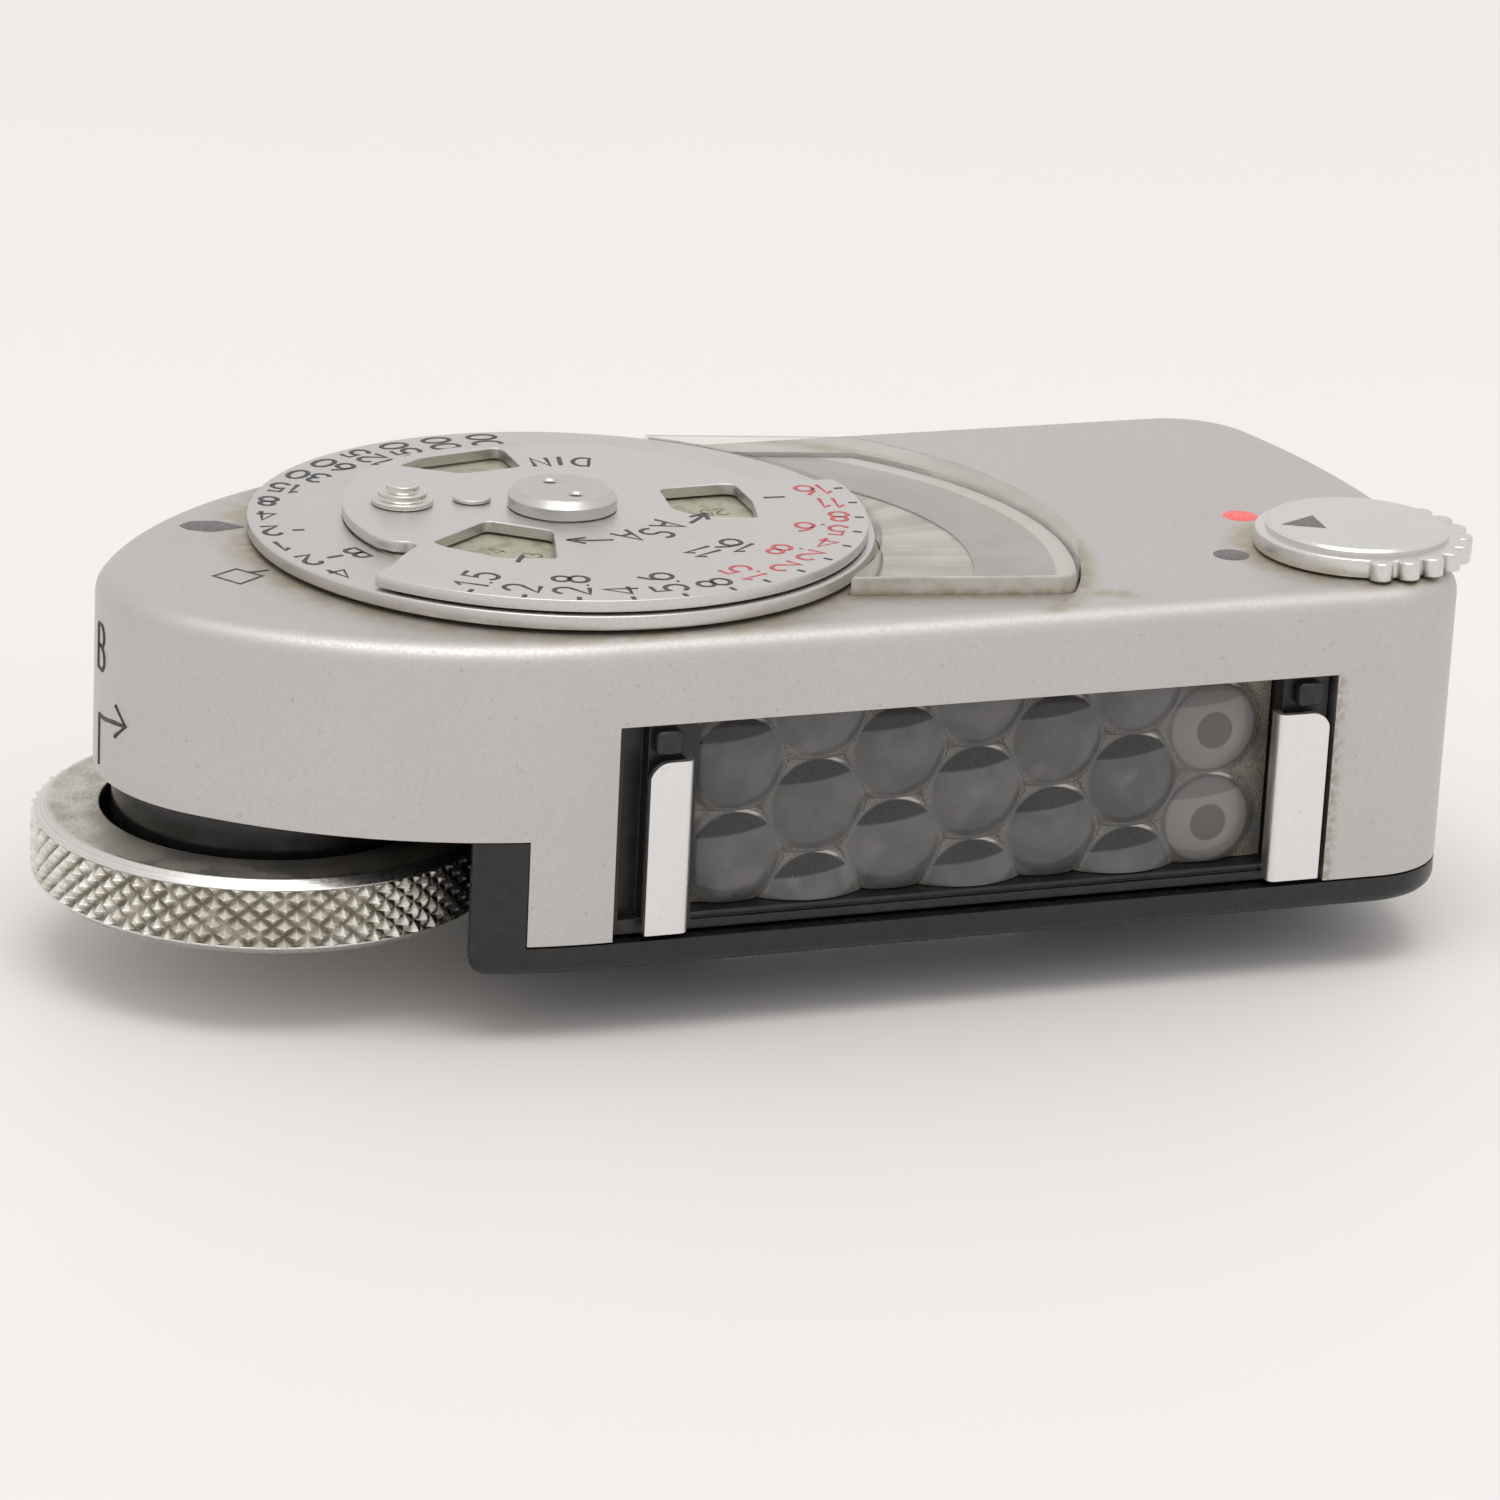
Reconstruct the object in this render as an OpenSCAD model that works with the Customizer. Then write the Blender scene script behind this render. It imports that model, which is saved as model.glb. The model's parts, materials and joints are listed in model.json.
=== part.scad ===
// Clip-on coupled selenium exposure meter.
// Origin: centre of the accessory foot's underside. +Z up, +X towards the range lever,
// -Y is the side of the light cell. All sizes in millimetres.

/* [Casing] */
// Plain length of the straight front and back walls
straight_len = 40.35; // [38:0.05:44]
// Depth of the casing, front to back
body_depth = 32.75; // [32:0.05:36]
// Height of the casing's top face above the foot's underside
top_z = 20.55; // [20.2:0.05:20.8]
// Height of the silver casing's lower edge on the deep side
skirt_z = 5.1; // [5.05:0.05:5.4]
// Height of the lower edge of the raised round end, above the wheel
step_z = 10.57; // [10.4:0.01:10.8]
// Wall thickness of the casing
wall = 1.0; // [0.8:0.05:1.1]
// Radius of the rounded top edge
edge_r = 1.2; // [1:0.1:1.4]

/* [Light cell window] */
// Left edge of the window opening
win_x0 = -17.56; // [-18.5:0.01:-17]
// Right edge of the window opening
win_x1 = 21.07; // [20.5:0.01:21.5]
// Top edge of the window opening
win_top = 16.24; // [15.5:0.01:16.6]
// Distance between the centres of neighbouring lens cells
lens_pitch = 4.95; // [4.6:0.05:5.1]

/* [Dial] */
// Radius of the shutter-speed disc
disc_r = 16; // [15:0.1:16]
// Radius of the aperture disc
aperture_r = 15.65; // [14.6:0.05:15.65]
// Radius of the aperture disc where it is cut back
aperture_cut_r = 11.4; // [11.2:0.1:12]

/* [Coupling wheel] */
// Radius over the knurling
wheel_r = 11.9; // [11:0.05:12]
// How far the wheel lifts against its spring
lift = 1.5; // [0.5:0.1:1.5]

/* [Accessory foot] */
// Width of the foot across the shoe's rails
foot_w = 18.6; // [18.4:0.05:18.6]
// Length of the foot along the shoe
foot_l = 15; // [13:0.5:15]
// Thickness of the foot plate
foot_t = 2.0; // [1.8:0.05:2]

/* [Hidden] */
$fn = 64;

half_d = body_depth / 2;
base_z = 3.5;                 // flat underside of the black base
base_r = 0.8;                 // radius of the base's lower edge
end_r = 9.44;                 // radius of the round end
end_x = -30.35;               // centre of the round end
end_y = -1.69;
near_r = 26.8;                // radius of the long curve in front
far_r = 26;                   // radius of the long curve at the back
corner_r = 5;                 // corner radius beside the lever
bulge_r = 55;                 // radius of the gently curved right end
near_y = near_r - half_d;
near_x = end_x + sqrt(pow(near_r - end_r, 2) - pow(near_y - end_y, 2));
far_y = half_d - far_r;
far_x = end_x + sqrt(pow(far_r - end_r, 2) - pow(far_y - end_y, 2));
near_a = atan2(end_y - near_y, end_x - near_x);
far_a = atan2(end_y - far_y, end_x - far_x);
corner_x = -16 + straight_len;
corner_y = half_d - corner_r;
bulge_a = asin(corner_y / (bulge_r - corner_r));
bulge_x = corner_x - (bulge_r - corner_r) * cos(bulge_a);

dial = [-15, 0.9];
wheel = dial + [-15.875, -2];
axis_a = atan2(dial[1] - wheel[1], dial[0] - wheel[0]);
pivot = [-8.8, -2.3];         // needle pivot
lever = [24.9, -9.5];
zero = [-14.6, -9.4];           // zero-adjusting screw
step_x = -24.8;               // front left corner of the deep part of the base
tab_x = -21.9;                // left edge of the silver skirt
pocket_r = 12.44;             // pocket round the coupling wheel
posts = [[25.2, 12], [16.5, -9.2], [-21, 11.8], [-20.6, -11.4]];

gear_m = 0.4;
pinion_n = 14;
idler_n = 19;
dial_n = 28;
idler = wheel + gear_m * (pinion_n + idler_n) / 2 * [cos(axis_a), sin(axis_a)];
gear_z = 15.3;
gear_t = 1.2;
plate_z = 14.2;

// ---------- shared shapes ----------

module at(p, z = 0) {
    translate([p[0], p[1], z]) children();
}

module cyl(r, z0, z1) {
    translate([0, 0, z0]) cylinder(r = r, h = z1 - z0);
}

module ring(ro, ri, z0, z1) {
    difference() {
        cyl(ro, z0, z1);
        cyl(ri, z0 - 1, z1 + 1);
    }
}

module block(x0, x1, y0, y1, z0, z1) {
    translate([x0, y0, z0]) cube([x1 - x0, y1 - y0, z1 - z0]);
}

module slab(z0, z1) {
    translate([0, 0, z0]) linear_extrude(z1 - z0) children();
}

// Plan outline of the casing, drawn in by i
module outline(i = 0) {
    translate([end_x, end_y]) circle(end_r - i);
    intersection() {
        translate([near_x, near_y]) circle(near_r - i, $fn = 120);
        translate([far_x, far_y]) circle(far_r - i, $fn = 120);
        polygon([
            [end_x, end_y],
            [end_x + 30 * cos(near_a), end_y + 30 * sin(near_a)],
            [near_x, -40],
            [near_x, 40],
            [end_x + 30 * cos(far_a), end_y + 30 * sin(far_a)]
        ]);
    }
    intersection() {
        translate([far_x, far_y]) circle(far_r - i, $fn = 120);
        translate([near_x, i - half_d]) square([far_x - near_x, body_depth]);
    }
    translate([far_x, i - half_d]) square([corner_x - far_x, body_depth - 2 * i]);
    for (s = [-1, 1]) translate([corner_x, s * corner_y]) circle(corner_r - i);
    intersection() {
        translate([bulge_x - 0.03, 0]) circle(bulge_r - i, $fn = 180);
        polygon([
            [corner_x - 0.1, -corner_y],
            [corner_x, -corner_y],
            [corner_x + 8 * cos(bulge_a), -corner_y - 8 * sin(bulge_a)],
            [corner_x + 8 * cos(bulge_a), corner_y + 8 * sin(bulge_a)],
            [corner_x, corner_y],
            [corner_x - 0.1, corner_y]
        ]);
    }
}

// Steps of a rounded edge: how far step k is drawn in, and how high it reaches
edge_steps = 6;
function step_in(r, k) = r * (1 - cos(90 * (k + 0.5) / edge_steps));
function step_up(r, k) = r * sin(90 * (k + 1) / edge_steps);

function inv(a) = tan(a) * 180 / PI - a;

// One tooth flank: half angle of the tooth at radius r
function half_angle(n, r, slack) =
    let (rb = gear_m * n / 2 * cos(20), a = r > rb ? acos(rb / r) : 0)
    90 / n - slack + inv(20) - inv(a);

module gear(n, a, slack) {
    ra = gear_m * (n / 2 + 0.85);
    rf = gear_m * (n / 2 - 1.2);
    steps = 4;
    pts = [for (t = [0:n - 1], s = [-1, 1], k = [0:steps])
        let (q = s < 0 ? k : steps - k, r = rf + (ra - rf) * q / steps,
            b = a + 360 * t / n + s * half_angle(n, r, slack))
        r * [cos(b), sin(b)]];
    slab(gear_z, gear_z + gear_t) polygon(pts);
}

// Round wire wound into a compression spring
module coil(rm, wire, z0, z1, turns) {
    seg = 20;
    side = 8;
    n = turns * seg;
    pts = [for (i = [0:n], j = [0:side - 1])
        let (a = 360 * i / seg, b = 360 * j / side, r = rm + wire * cos(b))
        [r * cos(a), r * sin(a), z0 + wire + (z1 - z0 - 2 * wire) * i / n + wire * sin(b)]];
    faces = concat(
        [[for (j = [0:side - 1]) j]],
        [[for (j = [side - 1:-1:0]) n * side + j]],
        [for (i = [0:n - 1], j = [0:side - 1])
            let (k = (j + 1) % side)
            [i * side + k, i * side + j, (i + 1) * side + j, (i + 1) * side + k]]
    );
    polyhedron(pts, faces, convexity = 10);
}

// A sector of a ring, between two radii and two angles
module sector(r0, r1, a0, a1) {
    mid = (a0 + a1) / 2;
    intersection() {
        difference() {
            circle(r1);
            circle(r0);
        }
        polygon([
            [0, 0],
            3 * r1 * [cos(a0), sin(a0)],
            3 * r1 * [cos(mid), sin(mid)],
            3 * r1 * [cos(a1), sin(a1)]
        ]);
    }
}

// Plan of the reading window, grown by g
module window_plan(g = 0) {
    difference() {
        intersection() {
            translate([4.95, -2.68]) circle(20.86 + g);
            polygon([
                [9.4 - g, -11.83 - g],
                [30, -15.62 - g],
                [30, 9.1 + g],
                [9.4 - g, 13.9 + g]
            ]);
        }
        circle(16.35 - g);
    }
}

// The same plan grown by g, kept inside the casing's walls
module inside_window(g) {
    intersection() {
        translate(dial) window_plan(g);
        outline(wall + 0.3);
    }
}

// ---------- casing and base ----------

module top_casing() color("Silver") difference() {
    union() {
        difference() {
            union() {
                slab(skirt_z, top_z - edge_r) outline();
                for (k = [0:edge_steps - 1])
                    slab(top_z - edge_r - 0.5, top_z - edge_r + step_up(edge_r, k))
                        outline(step_in(edge_r, k));
            }
            slab(0, top_z - wall) outline(wall);
        }
        for (p = posts) at(p) cyl(1.7, base_z + 1.6, top_z - wall + 0.2);
    }
    // raised round end
    block(-60, tab_x, -30, 30, 0, step_z);
    // opening for the light cell
    block(win_x0, win_x1, -30, -half_d + 3, 0, win_top);
    // reading window
    at(dial) slab(top_z - 2, top_z + 1) window_plan(0.1);
    at(dial) cyl(3.05, top_z - 2, top_z + 1);
    at(lever) cyl(1.55, top_z - 2, top_z + 1);
    for (p = posts) at(p) cyl(0.62, 4, 13);
}

module deep_plan(i = 0) {
    difference() {
        intersection() {
            outline(i);
            polygon([
                [step_x - 6, -30], [60, -30], [60, 30], [step_x - 6, 30],
                [step_x + 2.8, 8], [step_x + 2.8, -8]
            ]);
        }
        translate(wheel) circle(pocket_r);
    }
}

module base_housing() color([0.06, 0.06, 0.06]) difference() {
    union() {
        // floor with a rounded lower edge
        slab(base_z + base_r, base_z + 1.5) deep_plan();
        for (k = [0:edge_steps - 1])
            slab(base_z + base_r - step_up(base_r, k), base_z + 1.2)
                deep_plan(step_in(base_r, k));
        // blocks under the step, front and back
        slab(base_z + 1, step_z - 0.06) intersection() {
            deep_plan();
            translate([step_x - 6, -30]) square([tab_x - 0.05 - step_x + 6, 60]);
        }
        // pocket wall round the wheel
        slab(base_z + 1, step_z + 1.1) intersection() {
            deep_plan(1.08);
            translate(wheel) circle(pocket_r + 1.2);
        }
        // shelf above the wheel
        slab(step_z + 0.1, step_z + 1.1) intersection() {
            outline(1.08);
            translate([-60, -30]) square([60 - 18.6, 60]);
        }
        // round boss the wheel slides on
        at(wheel) cyl(7.85, 7.1, step_z - 0.06);
        slab(8, step_z + 0.6) intersection() {
            outline(1.08);
            translate(wheel) circle(7.75);
        }
        // pillars for the gear plate
        for (p = plate_posts()) at(p) cyl(1.4, step_z + 0.6, plate_z);
        at([-18.2, 8.6]) cyl(1.4, base_z + 1, plate_z);
        // pillars under the meter movement
        for (a = [0, 110, 180, 290]) at(pivot) rotate([0, 0, a]) translate([6.2, 0, 0])
            cyl(0.7, base_z + 1, 7.2);
        at([14, 3.5]) block(-3.4, 3.4, -0.9, 0.9, base_z + 1, 6.2);
    }
    at(wheel) cyl(4.2, 0, step_z + 0.1);
    at(wheel) cyl(1.55, 0, 20);
    for (p = plate_posts()) at(p) cyl(0.5, 12, 20);
    at([-18.2, 8.6]) cyl(0.5, 12, 20);
    for (p = posts) at(p) {
        cyl(0.85, 0, 20);
        translate([0, 0, base_z - 0.01]) cylinder(r1 = 1.65, r2 = 0.85, h = 0.8);
    }
    for (p = foot_holes()) at(p) cyl(0.55, 0, 20);
    at(zero) cyl(1.3, 0, 20);
    // room for the casing's posts
    for (p = posts) at(p) cyl(1.75, base_z + 1.55, 20);
}

function plate_posts() = [[-36.2, -3.8], [-29.5, 8.2]];
function foot_holes() = [for (x = [-5.6, 5.6], y = [-4.6, 4.6]) [x, y]];

module base_screws() color("DimGray") for (p = posts) at(p) difference() {
    union() {
        translate([0, 0, base_z + 0.02]) cylinder(r1 = 1.6, r2 = 0.8, h = 0.8);
        cyl(0.8, base_z + 0.8, base_z + 1.59);
        cyl(0.6, base_z + 1.5, 11);
    }
    block(-2, 2, -0.16, 0.16, 3, base_z + 0.4);
}

module accessory_foot() color("Gainsboro") difference() {
    union() {
        block(-foot_w / 2, foot_w / 2, -foot_l / 2, foot_l / 2, 0, foot_t);
        block(-6.1, 6.1, -foot_l / 2, foot_l / 2, foot_t, base_z);
    }
    // lead-in bevels at the leading end
    for (s = [-1, 1]) translate([s * foot_w / 2, -foot_l / 2, -1]) rotate([0, 0, 45])
        cube([1.4, 1.4, 8], center = true);
    // tray for the leaf spring
    block(-4.4, 4.4, -5.2, 5.2, foot_t + 0.6, base_z + 1);
    for (p = foot_holes()) at(p) {
        cyl(0.62, -1, 8);
        cyl(1.1, -1, 0.8);
    }
}

module foot_spring() color("LightSteelBlue") {
    block(-4.2, 4.2, -5, 5, foot_t + 0.62, foot_t + 0.92);
    for (s = [-1, 1]) translate([s * 3, 0, foot_t + 1.02]) rotate([90, 0, 0])
        translate([0, 0, -4.5]) cylinder(r = 0.36, h = 9, $fn = 32);
}

module foot_screws() color("Silver") for (p = foot_holes()) at(p) difference() {
    union() {
        cyl(1.05, 0.12, 0.78);
        cyl(0.5, 0.5, base_z + 1.4);
    }
    block(-2, 2, -0.14, 0.14, 0, 0.42);
}

// ---------- light cell ----------

front_y = -half_d;

module cell_frame() color([0.05, 0.05, 0.05]) difference() {
    block(win_x0 + 0.2, win_x1 - 0.2, front_y + 0.6, front_y + 3.2, skirt_z + 0.1, win_top - 0.1);
    block(-13.3, 18.3, front_y - 1, front_y + 2.2, 6.1, win_top + 1);
    block(-12.3, 17.3, front_y - 1, front_y + 4, 6.8, 15.4);
    // slots beside the rails
    block(-17.1, -15.9, front_y - 1, front_y + 1.4, 6, win_top + 1);
    // groove below the lens
    block(-13.3, 18.3, front_y - 1, front_y + 0.8, 5.7, 5.85);
}

module honeycomb_lens() color([0.75, 0.78, 0.8, 0.4]) {
    dome_r = 4.4;
    cap = 1.1;
    intersection() {
        block(-13.2, 18.2, front_y + 0.7, front_y + 2.16, 6.15, win_top - 0.15);
        union() {
            block(-14, 19, front_y + 1.4, front_y + 3, 5, 18);
            for (i = [0:6], j = [-1:1]) {
                x = -10.6 + i * lens_pitch * cos(30);
                z = 8.2 + lens_pitch * (i % 2 == 0 ? j : j + 0.5);
                translate([x, front_y + 0.75 + dome_r, z]) sphere(r = dome_r, $fn = 48);
            }
        }
    }
}

module cell_plate() color([0.25, 0.25, 0.28]) {
    block(-16, 19.5, front_y + 3.3, front_y + 4.3, 5.5, 16);
    block(-16, 19.5, front_y + 4.3, front_y + 4.6, 7, 14.5);
}

module cell_contacts() color("Goldenrod") for (x = [-14, 11.6]) {
    block(x, x + 2.4, front_y + 4.62, front_y + 4.86, 8, 13.5);
    block(x + 0.6, x + 1.8, front_y + 4.62, front_y + 6.6, 13.26, 13.5);
    block(x + 0.6, x + 1.8, front_y + 6.36, front_y + 6.6, 10.5, 13.5);
}

// Bent sheet rail: face, turned-in edge and two legs into the frame
// Bent sheet rail. side is -1 for the left one; its flange points away from the lens
module rail(x0, x1, side) {
    y = front_y;
    z0 = skirt_z + 0.3;
    bend = side < 0 ? x1 - 0.45 : x0 + 0.45;
    difference() {
        union() {
            block(side < 0 ? x0 : bend, side < 0 ? bend : x1, y - 0.35, y + 0.05, z0, 14.4);
            at([bend, y + 0.1]) cyl(0.45, z0, 14.4);
            block(side < 0 ? x1 - 0.4 : x0, side < 0 ? x1 : x0 + 0.4, y + 0.1, y + 0.6, z0, 14.4);
        }
        at([side < 0 ? x0 : x1, y], 14.4) rotate([0, 45, 0]) cube([1.2, 3, 1.2], center = true);
    }
}

module left_rail() color("White") rail(-16.05, -13.7, -1);

module right_rail() color("White") rail(17.8, 20.65, 1);

module booster_contacts() color([0.12, 0.12, 0.12]) for (x = [-15, 19.6]) {
    block(x - 0.7, x + 0.7, front_y - 0.1, front_y + 0.6, 14.7, 15.7);
    translate([x, front_y + 0.6, 15.2]) rotate([90, 0, 0]) cylinder(r = 0.3, h = 0.9, $fn = 32);
}

// ---------- coupling wheel and gear train ----------

module coupling_wheel() color("Silver") at(wheel) difference() {
    rotate_extrude($fn = 180) polygon([
        [1, 5.0], [2.6, 5.0], [2.6, 4.3], [wheel_r - 0.55, 4.3], [wheel_r, 4.8],
        [wheel_r, 7.6], [wheel_r - 0.7, 8.15], [8.45, 8.15], [8.45, 5.25], [2.6, 5.25],
        [2.6, 6.4], [1, 6.4]
    ]);
    slab(3, 9) intersection() {
        circle(1.53);
        square([4, 2.26], center = true);
    }
    at([7, 0]) cyl(0.7, 3, 6);
}

module coupling_pin() color("Gray") at(wheel + [7, 0]) {
    cyl(0.9, 2.3, 4.2);
    cyl(0.7, 4.1, 5.2);
}

module wheel_spindle() color("DarkGray") at(wheel) difference() {
    union() {
        slab(4.95, 8.2) intersection() {
            circle(1.5);
            square([4, 2.2], center = true);
        }
        cyl(1.5, 8.2, plate_z - 0.3);
        cyl(2.4, step_z + 1.2, step_z + 1.7);
        cyl(1.2, plate_z - 0.4, gear_z + gear_t + 0.5);
    }
    cyl(0.6, 4, 8);
}

module wheel_screw() color("Gray") at(wheel) difference() {
    union() {
        cyl(2.3, 4.42, 4.94);
        cyl(0.58, 4.9, 7.8);
    }
    block(-3, 3, -0.2, 0.2, 4, 4.7);
}

module wheel_spring() color("LightSteelBlue") at(wheel) coil(3.35, 0.24, 5.3, step_z + 0.05, 6);

module drive_pinion() color("Khaki") at(wheel) difference() {
    gear(pinion_n, axis_a, 0.45);
    cyl(1.21, 0, 30);
}

module idler_gear() color("Khaki") at(idler) difference() {
    gear(idler_n, axis_a + 180 + 180 / idler_n, 0.35);
    cyl(1.05, 0, 30);
}

module idler_post() color("Gray") at(idler) {
    cyl(1.0, plate_z, gear_z + gear_t + 0.3);
    cyl(1.6, gear_z + gear_t + 0.1, gear_z + gear_t + 0.5);
    cyl(1.5, plate_z + 0.8, plate_z + 1.0);
}

module gear_plate() color("BurlyWood") difference() {
    slab(plate_z, plate_z + 0.8) {
        translate(wheel) circle(4.6);
        translate(dial) circle(4.6);
        polygon([
            wheel + 4.6 * [cos(axis_a + 90), sin(axis_a + 90)],
            wheel - 4.6 * [cos(axis_a + 90), sin(axis_a + 90)],
            dial - 4.6 * [cos(axis_a + 90), sin(axis_a + 90)],
            dial + 4.6 * [cos(axis_a + 90), sin(axis_a + 90)]
        ]);
        for (p = concat(plate_posts(), [[-18.2, 8.6]])) translate(p) circle(1.9);
        translate([-31.4, 3]) square([3.8, 5.2]);
        translate([-20.1, 4]) square([3.8, 4.6]);
    }
    at(wheel) cyl(1.25, 0, 30);
    at(dial) cyl(1.55, 0, 30);
    at(idler) cyl(1.01, 0, 30);
    for (p = concat(plate_posts(), [[-18.2, 8.6]])) at(p) cyl(0.55, 0, 30);
}

module plate_screws() color("Silver")
    for (p = concat(plate_posts(), [[-18.2, 8.6]])) at(p) difference() {
        union() {
            cyl(1.1, plate_z + 0.82, plate_z + 1.5);
            cyl(0.48, plate_z - 2, plate_z + 0.9);
        }
        block(-2, 2, -0.14, 0.14, plate_z + 1.2, plate_z + 2);
    }

// ---------- dial ----------

disc_z = 20.75;

module dial_shaft() color("DarkGray") at(dial) {
    cyl(1.5, plate_z - 0.3, gear_z + gear_t);
    cyl(2.2, gear_z + gear_t, 18.6);
    cyl(3.0, 18.6, disc_z);
    cyl(2.48, disc_z, 22.24);
    cyl(1.5, 22.2, 22.8);
}

module dial_gear() color("Khaki") at(dial) difference() {
    gear(dial_n, axis_a + 180 + 180 / dial_n, 0.24);
    cyl(1.51, 0, 30);
}

module shutter_disc() color("Silver") at(dial) difference() {
    union() {
        rotate_extrude($fn = 240) polygon([
            [2.4, disc_z], [disc_r - 0.15, disc_z], [disc_r, disc_z + 0.15],
            [disc_r, disc_z + 0.6], [disc_r - 0.15, disc_z + 0.75], [2.4, disc_z + 0.75]
        ]);
    }
    cyl(2.49, 20, 30);
    cyl(11.05, disc_z + 0.35, 30);
}

module film_speed_disc() color("Beige") at(dial) ring(11, 2.49, disc_z + 0.36, disc_z + 0.72);

module aperture_plan() {
    circle(aperture_cut_r, $fn = 180);
    intersection() {
        circle(aperture_r, $fn = 240);
        polygon([
            [0, 0], 30 * [cos(-145), sin(-145)], 45 * [cos(-115), sin(-115)],
            45 * [cos(-60), sin(-60)], 45 * [cos(-20), sin(-20)], 30 * [cos(6.8), sin(6.8)]
        ]);
    }
}

module aperture_disc() color("LightGray") at(dial) difference() {
    slab(21.6, 22.2) difference() {
        aperture_plan();
        // film-speed windows
        sector(4.8, 9.5, -155, -111);
        sector(6.0, 10.1, -24, 14);
        sector(7.2, 10.7, 89, 121);
    }
    cyl(2.53, 20, 30);
    at(stud_at()) cyl(0.6, 20, 30);
    at(rivet_at()) cyl(0.5, 20, 30);
}

function stud_at() = 8.15 * [cos(164.3), sin(164.3)];
function rivet_at() = 4.65 * [cos(154.5), sin(154.5)];

module setting_stud() color("White") at(dial + stud_at()) {
    cyl(0.59, 21.62, 22.3);
    cyl(1.6, 22.22, 22.55);
    cyl(1.25, 22.5, 22.9);
    cyl(0.85, 22.85, 23.25);
}

module disc_rivet() color("LightGray") at(dial + rivet_at()) {
    cyl(0.49, 21.62, 22.3);
    cyl(1.0, 22.22, 22.45);
}

module dial_nut() color("Gainsboro") at(dial) difference() {
    rotate_extrude($fn = 120) polygon([
        [0, 22.26], [2.8, 22.26], [2.8, 22.75], [2.35, 23.2], [0, 23.2]
    ]);
    cyl(1.52, 20, 22.82);
    for (s = [-1, 1]) at(1.26 * s * [cos(-76.6), sin(-76.6)]) cyl(0.42, 22.88, 25);
}

// ---------- reading window and movement ----------

module window_cover() color([0.85, 0.87, 0.85, 0.35]) {
    at(dial) slab(19.4, 21.5) window_plan(0);
    slab(18.95, 19.5) inside_window(0.9);
}

card_feet = [for (a = [-22, 38]) pivot + 19.7 * [cos(a), sin(a)]];

module scale_card() color("WhiteSmoke") {
    difference() {
        slab(17.6, 17.9) inside_window(0.6);
        at(pivot) cyl(5, 17, 19);
    }
    for (p = card_feet) at(p) cyl(0.7, 17.8, 18.94);
}

needle_a = -27;

module needle() color([0.1, 0.1, 0.1]) at(pivot) difference() {
    rotate([0, 0, needle_a]) union() {
        cyl(0.8, 18.1, 18.5);
        slab(18.3, 18.46) polygon([[0, -0.35], [17.6, -0.13], [17.6, 0.13], [0, 0.35]]);
        block(-3.2, 0, -0.25, 0.25, 18.3, 18.46);
        translate([-3.2, 0, 0]) cyl(0.55, 18.1, 18.5);
    }
    cyl(0.3, 17, 20);
}

module coil_staff() color("Silver") at(pivot) cyl(0.29, 5.85, 18.6);

coil_a = 140;

module coil_former() color("Peru") at(pivot) rotate([0, 0, coil_a]) difference() {
    block(-4.75, 4.75, -1.2, 1.2, 6.9, 13.3);
    block(-4.2, 4.2, -3, 3, 7.2, 13.0);
    cyl(0.3, 0, 30);
}

// Two half-coils, one each side of the staff
module coil_winding() color("Chocolate") at(pivot) rotate([0, 0, coil_a]) difference() {
    block(-5.1, 5.1, -1.1, 1.1, 6.58, 13.62);
    block(-4.77, 4.77, -3, 3, 6.88, 13.32);
    cyl(0.7, 0, 30);
}

module core_magnet() color("SlateGray") at(pivot) difference() {
    union() {
        cyl(3.6, 7.6, 12.6);
        block(-0.9, 0.9, -5.45, 5.45, 9, 11.2);
    }
    cyl(0.8, 0, 30);
}

module yoke_ring() color("DimGray") at(pivot) difference() {
    ring(7.0, 5.4, 7.22, 12.98);
    block(-0.95, 0.95, -5.5, 5.5, 8.95, 11.25);
}

bridge_a = 62.7;

module bridge(z_strap, z_leg0, z_leg1) {
    rotate([0, 0, bridge_a]) intersection() {
        union() {
            block(-7, 7, -1.5, 1.5, z_strap, z_strap + 0.6);
            for (s = [-1, 1]) block(min(5.5 * s, 7 * s), max(5.5 * s, 7 * s), -1.5, 1.5,
                z_leg0, z_leg1);
        }
        cyl(6.98, 0, 30);
    }
}

module upper_bridge() color("DarkKhaki") at(pivot) difference() {
    bridge(13.95, 13.0, 14.0);
    cyl(0.9, 0, 30);
}

module lower_bridge() color("DarkKhaki") at(pivot) difference() {
    bridge(5.6, 6.1, 7.2);
    cyl(0.9, 0, 30);
}

module jewels() color("Crimson") at(pivot) {
    ring(0.88, 0.33, 13.97, 14.53);
    difference() {
        cyl(0.88, 5.15, 6.18);
        cyl(0.33, 5.8, 7);
    }
}

module spiral(z) {
    turns = 4;
    n = turns * 24;
    function p(i, o) = (0.75 + 0.42 * i / 24 + o) * [cos(15 * i), sin(15 * i)];
    slab(z, z + 0.12) polygon(concat(
        [for (i = [0:n]) p(i, 0)],
        [for (i = [n:-1:0]) p(i, 0.1)]
    ));
}

module hair_springs() color("SteelBlue") at(pivot) {
    spiral(6.26);
    spiral(13.72);
}

module zero_screw() color("Silver") at(zero) difference() {
    union() {
        cyl(1.25, base_z + 0.1, base_z + 1.3);
        cyl(1.8, base_z + 1.53, base_z + 2.0);
        cyl(1.25, base_z + 1, base_z + 1.6);
        at([0.8, 0]) cyl(0.3, base_z + 1.9, base_z + 3);
    }
    block(-2, 2, -0.2, 0.2, 3, base_z + 0.6);
}

// ---------- range switch ----------

lever_z = top_z + 0.12;

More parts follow.
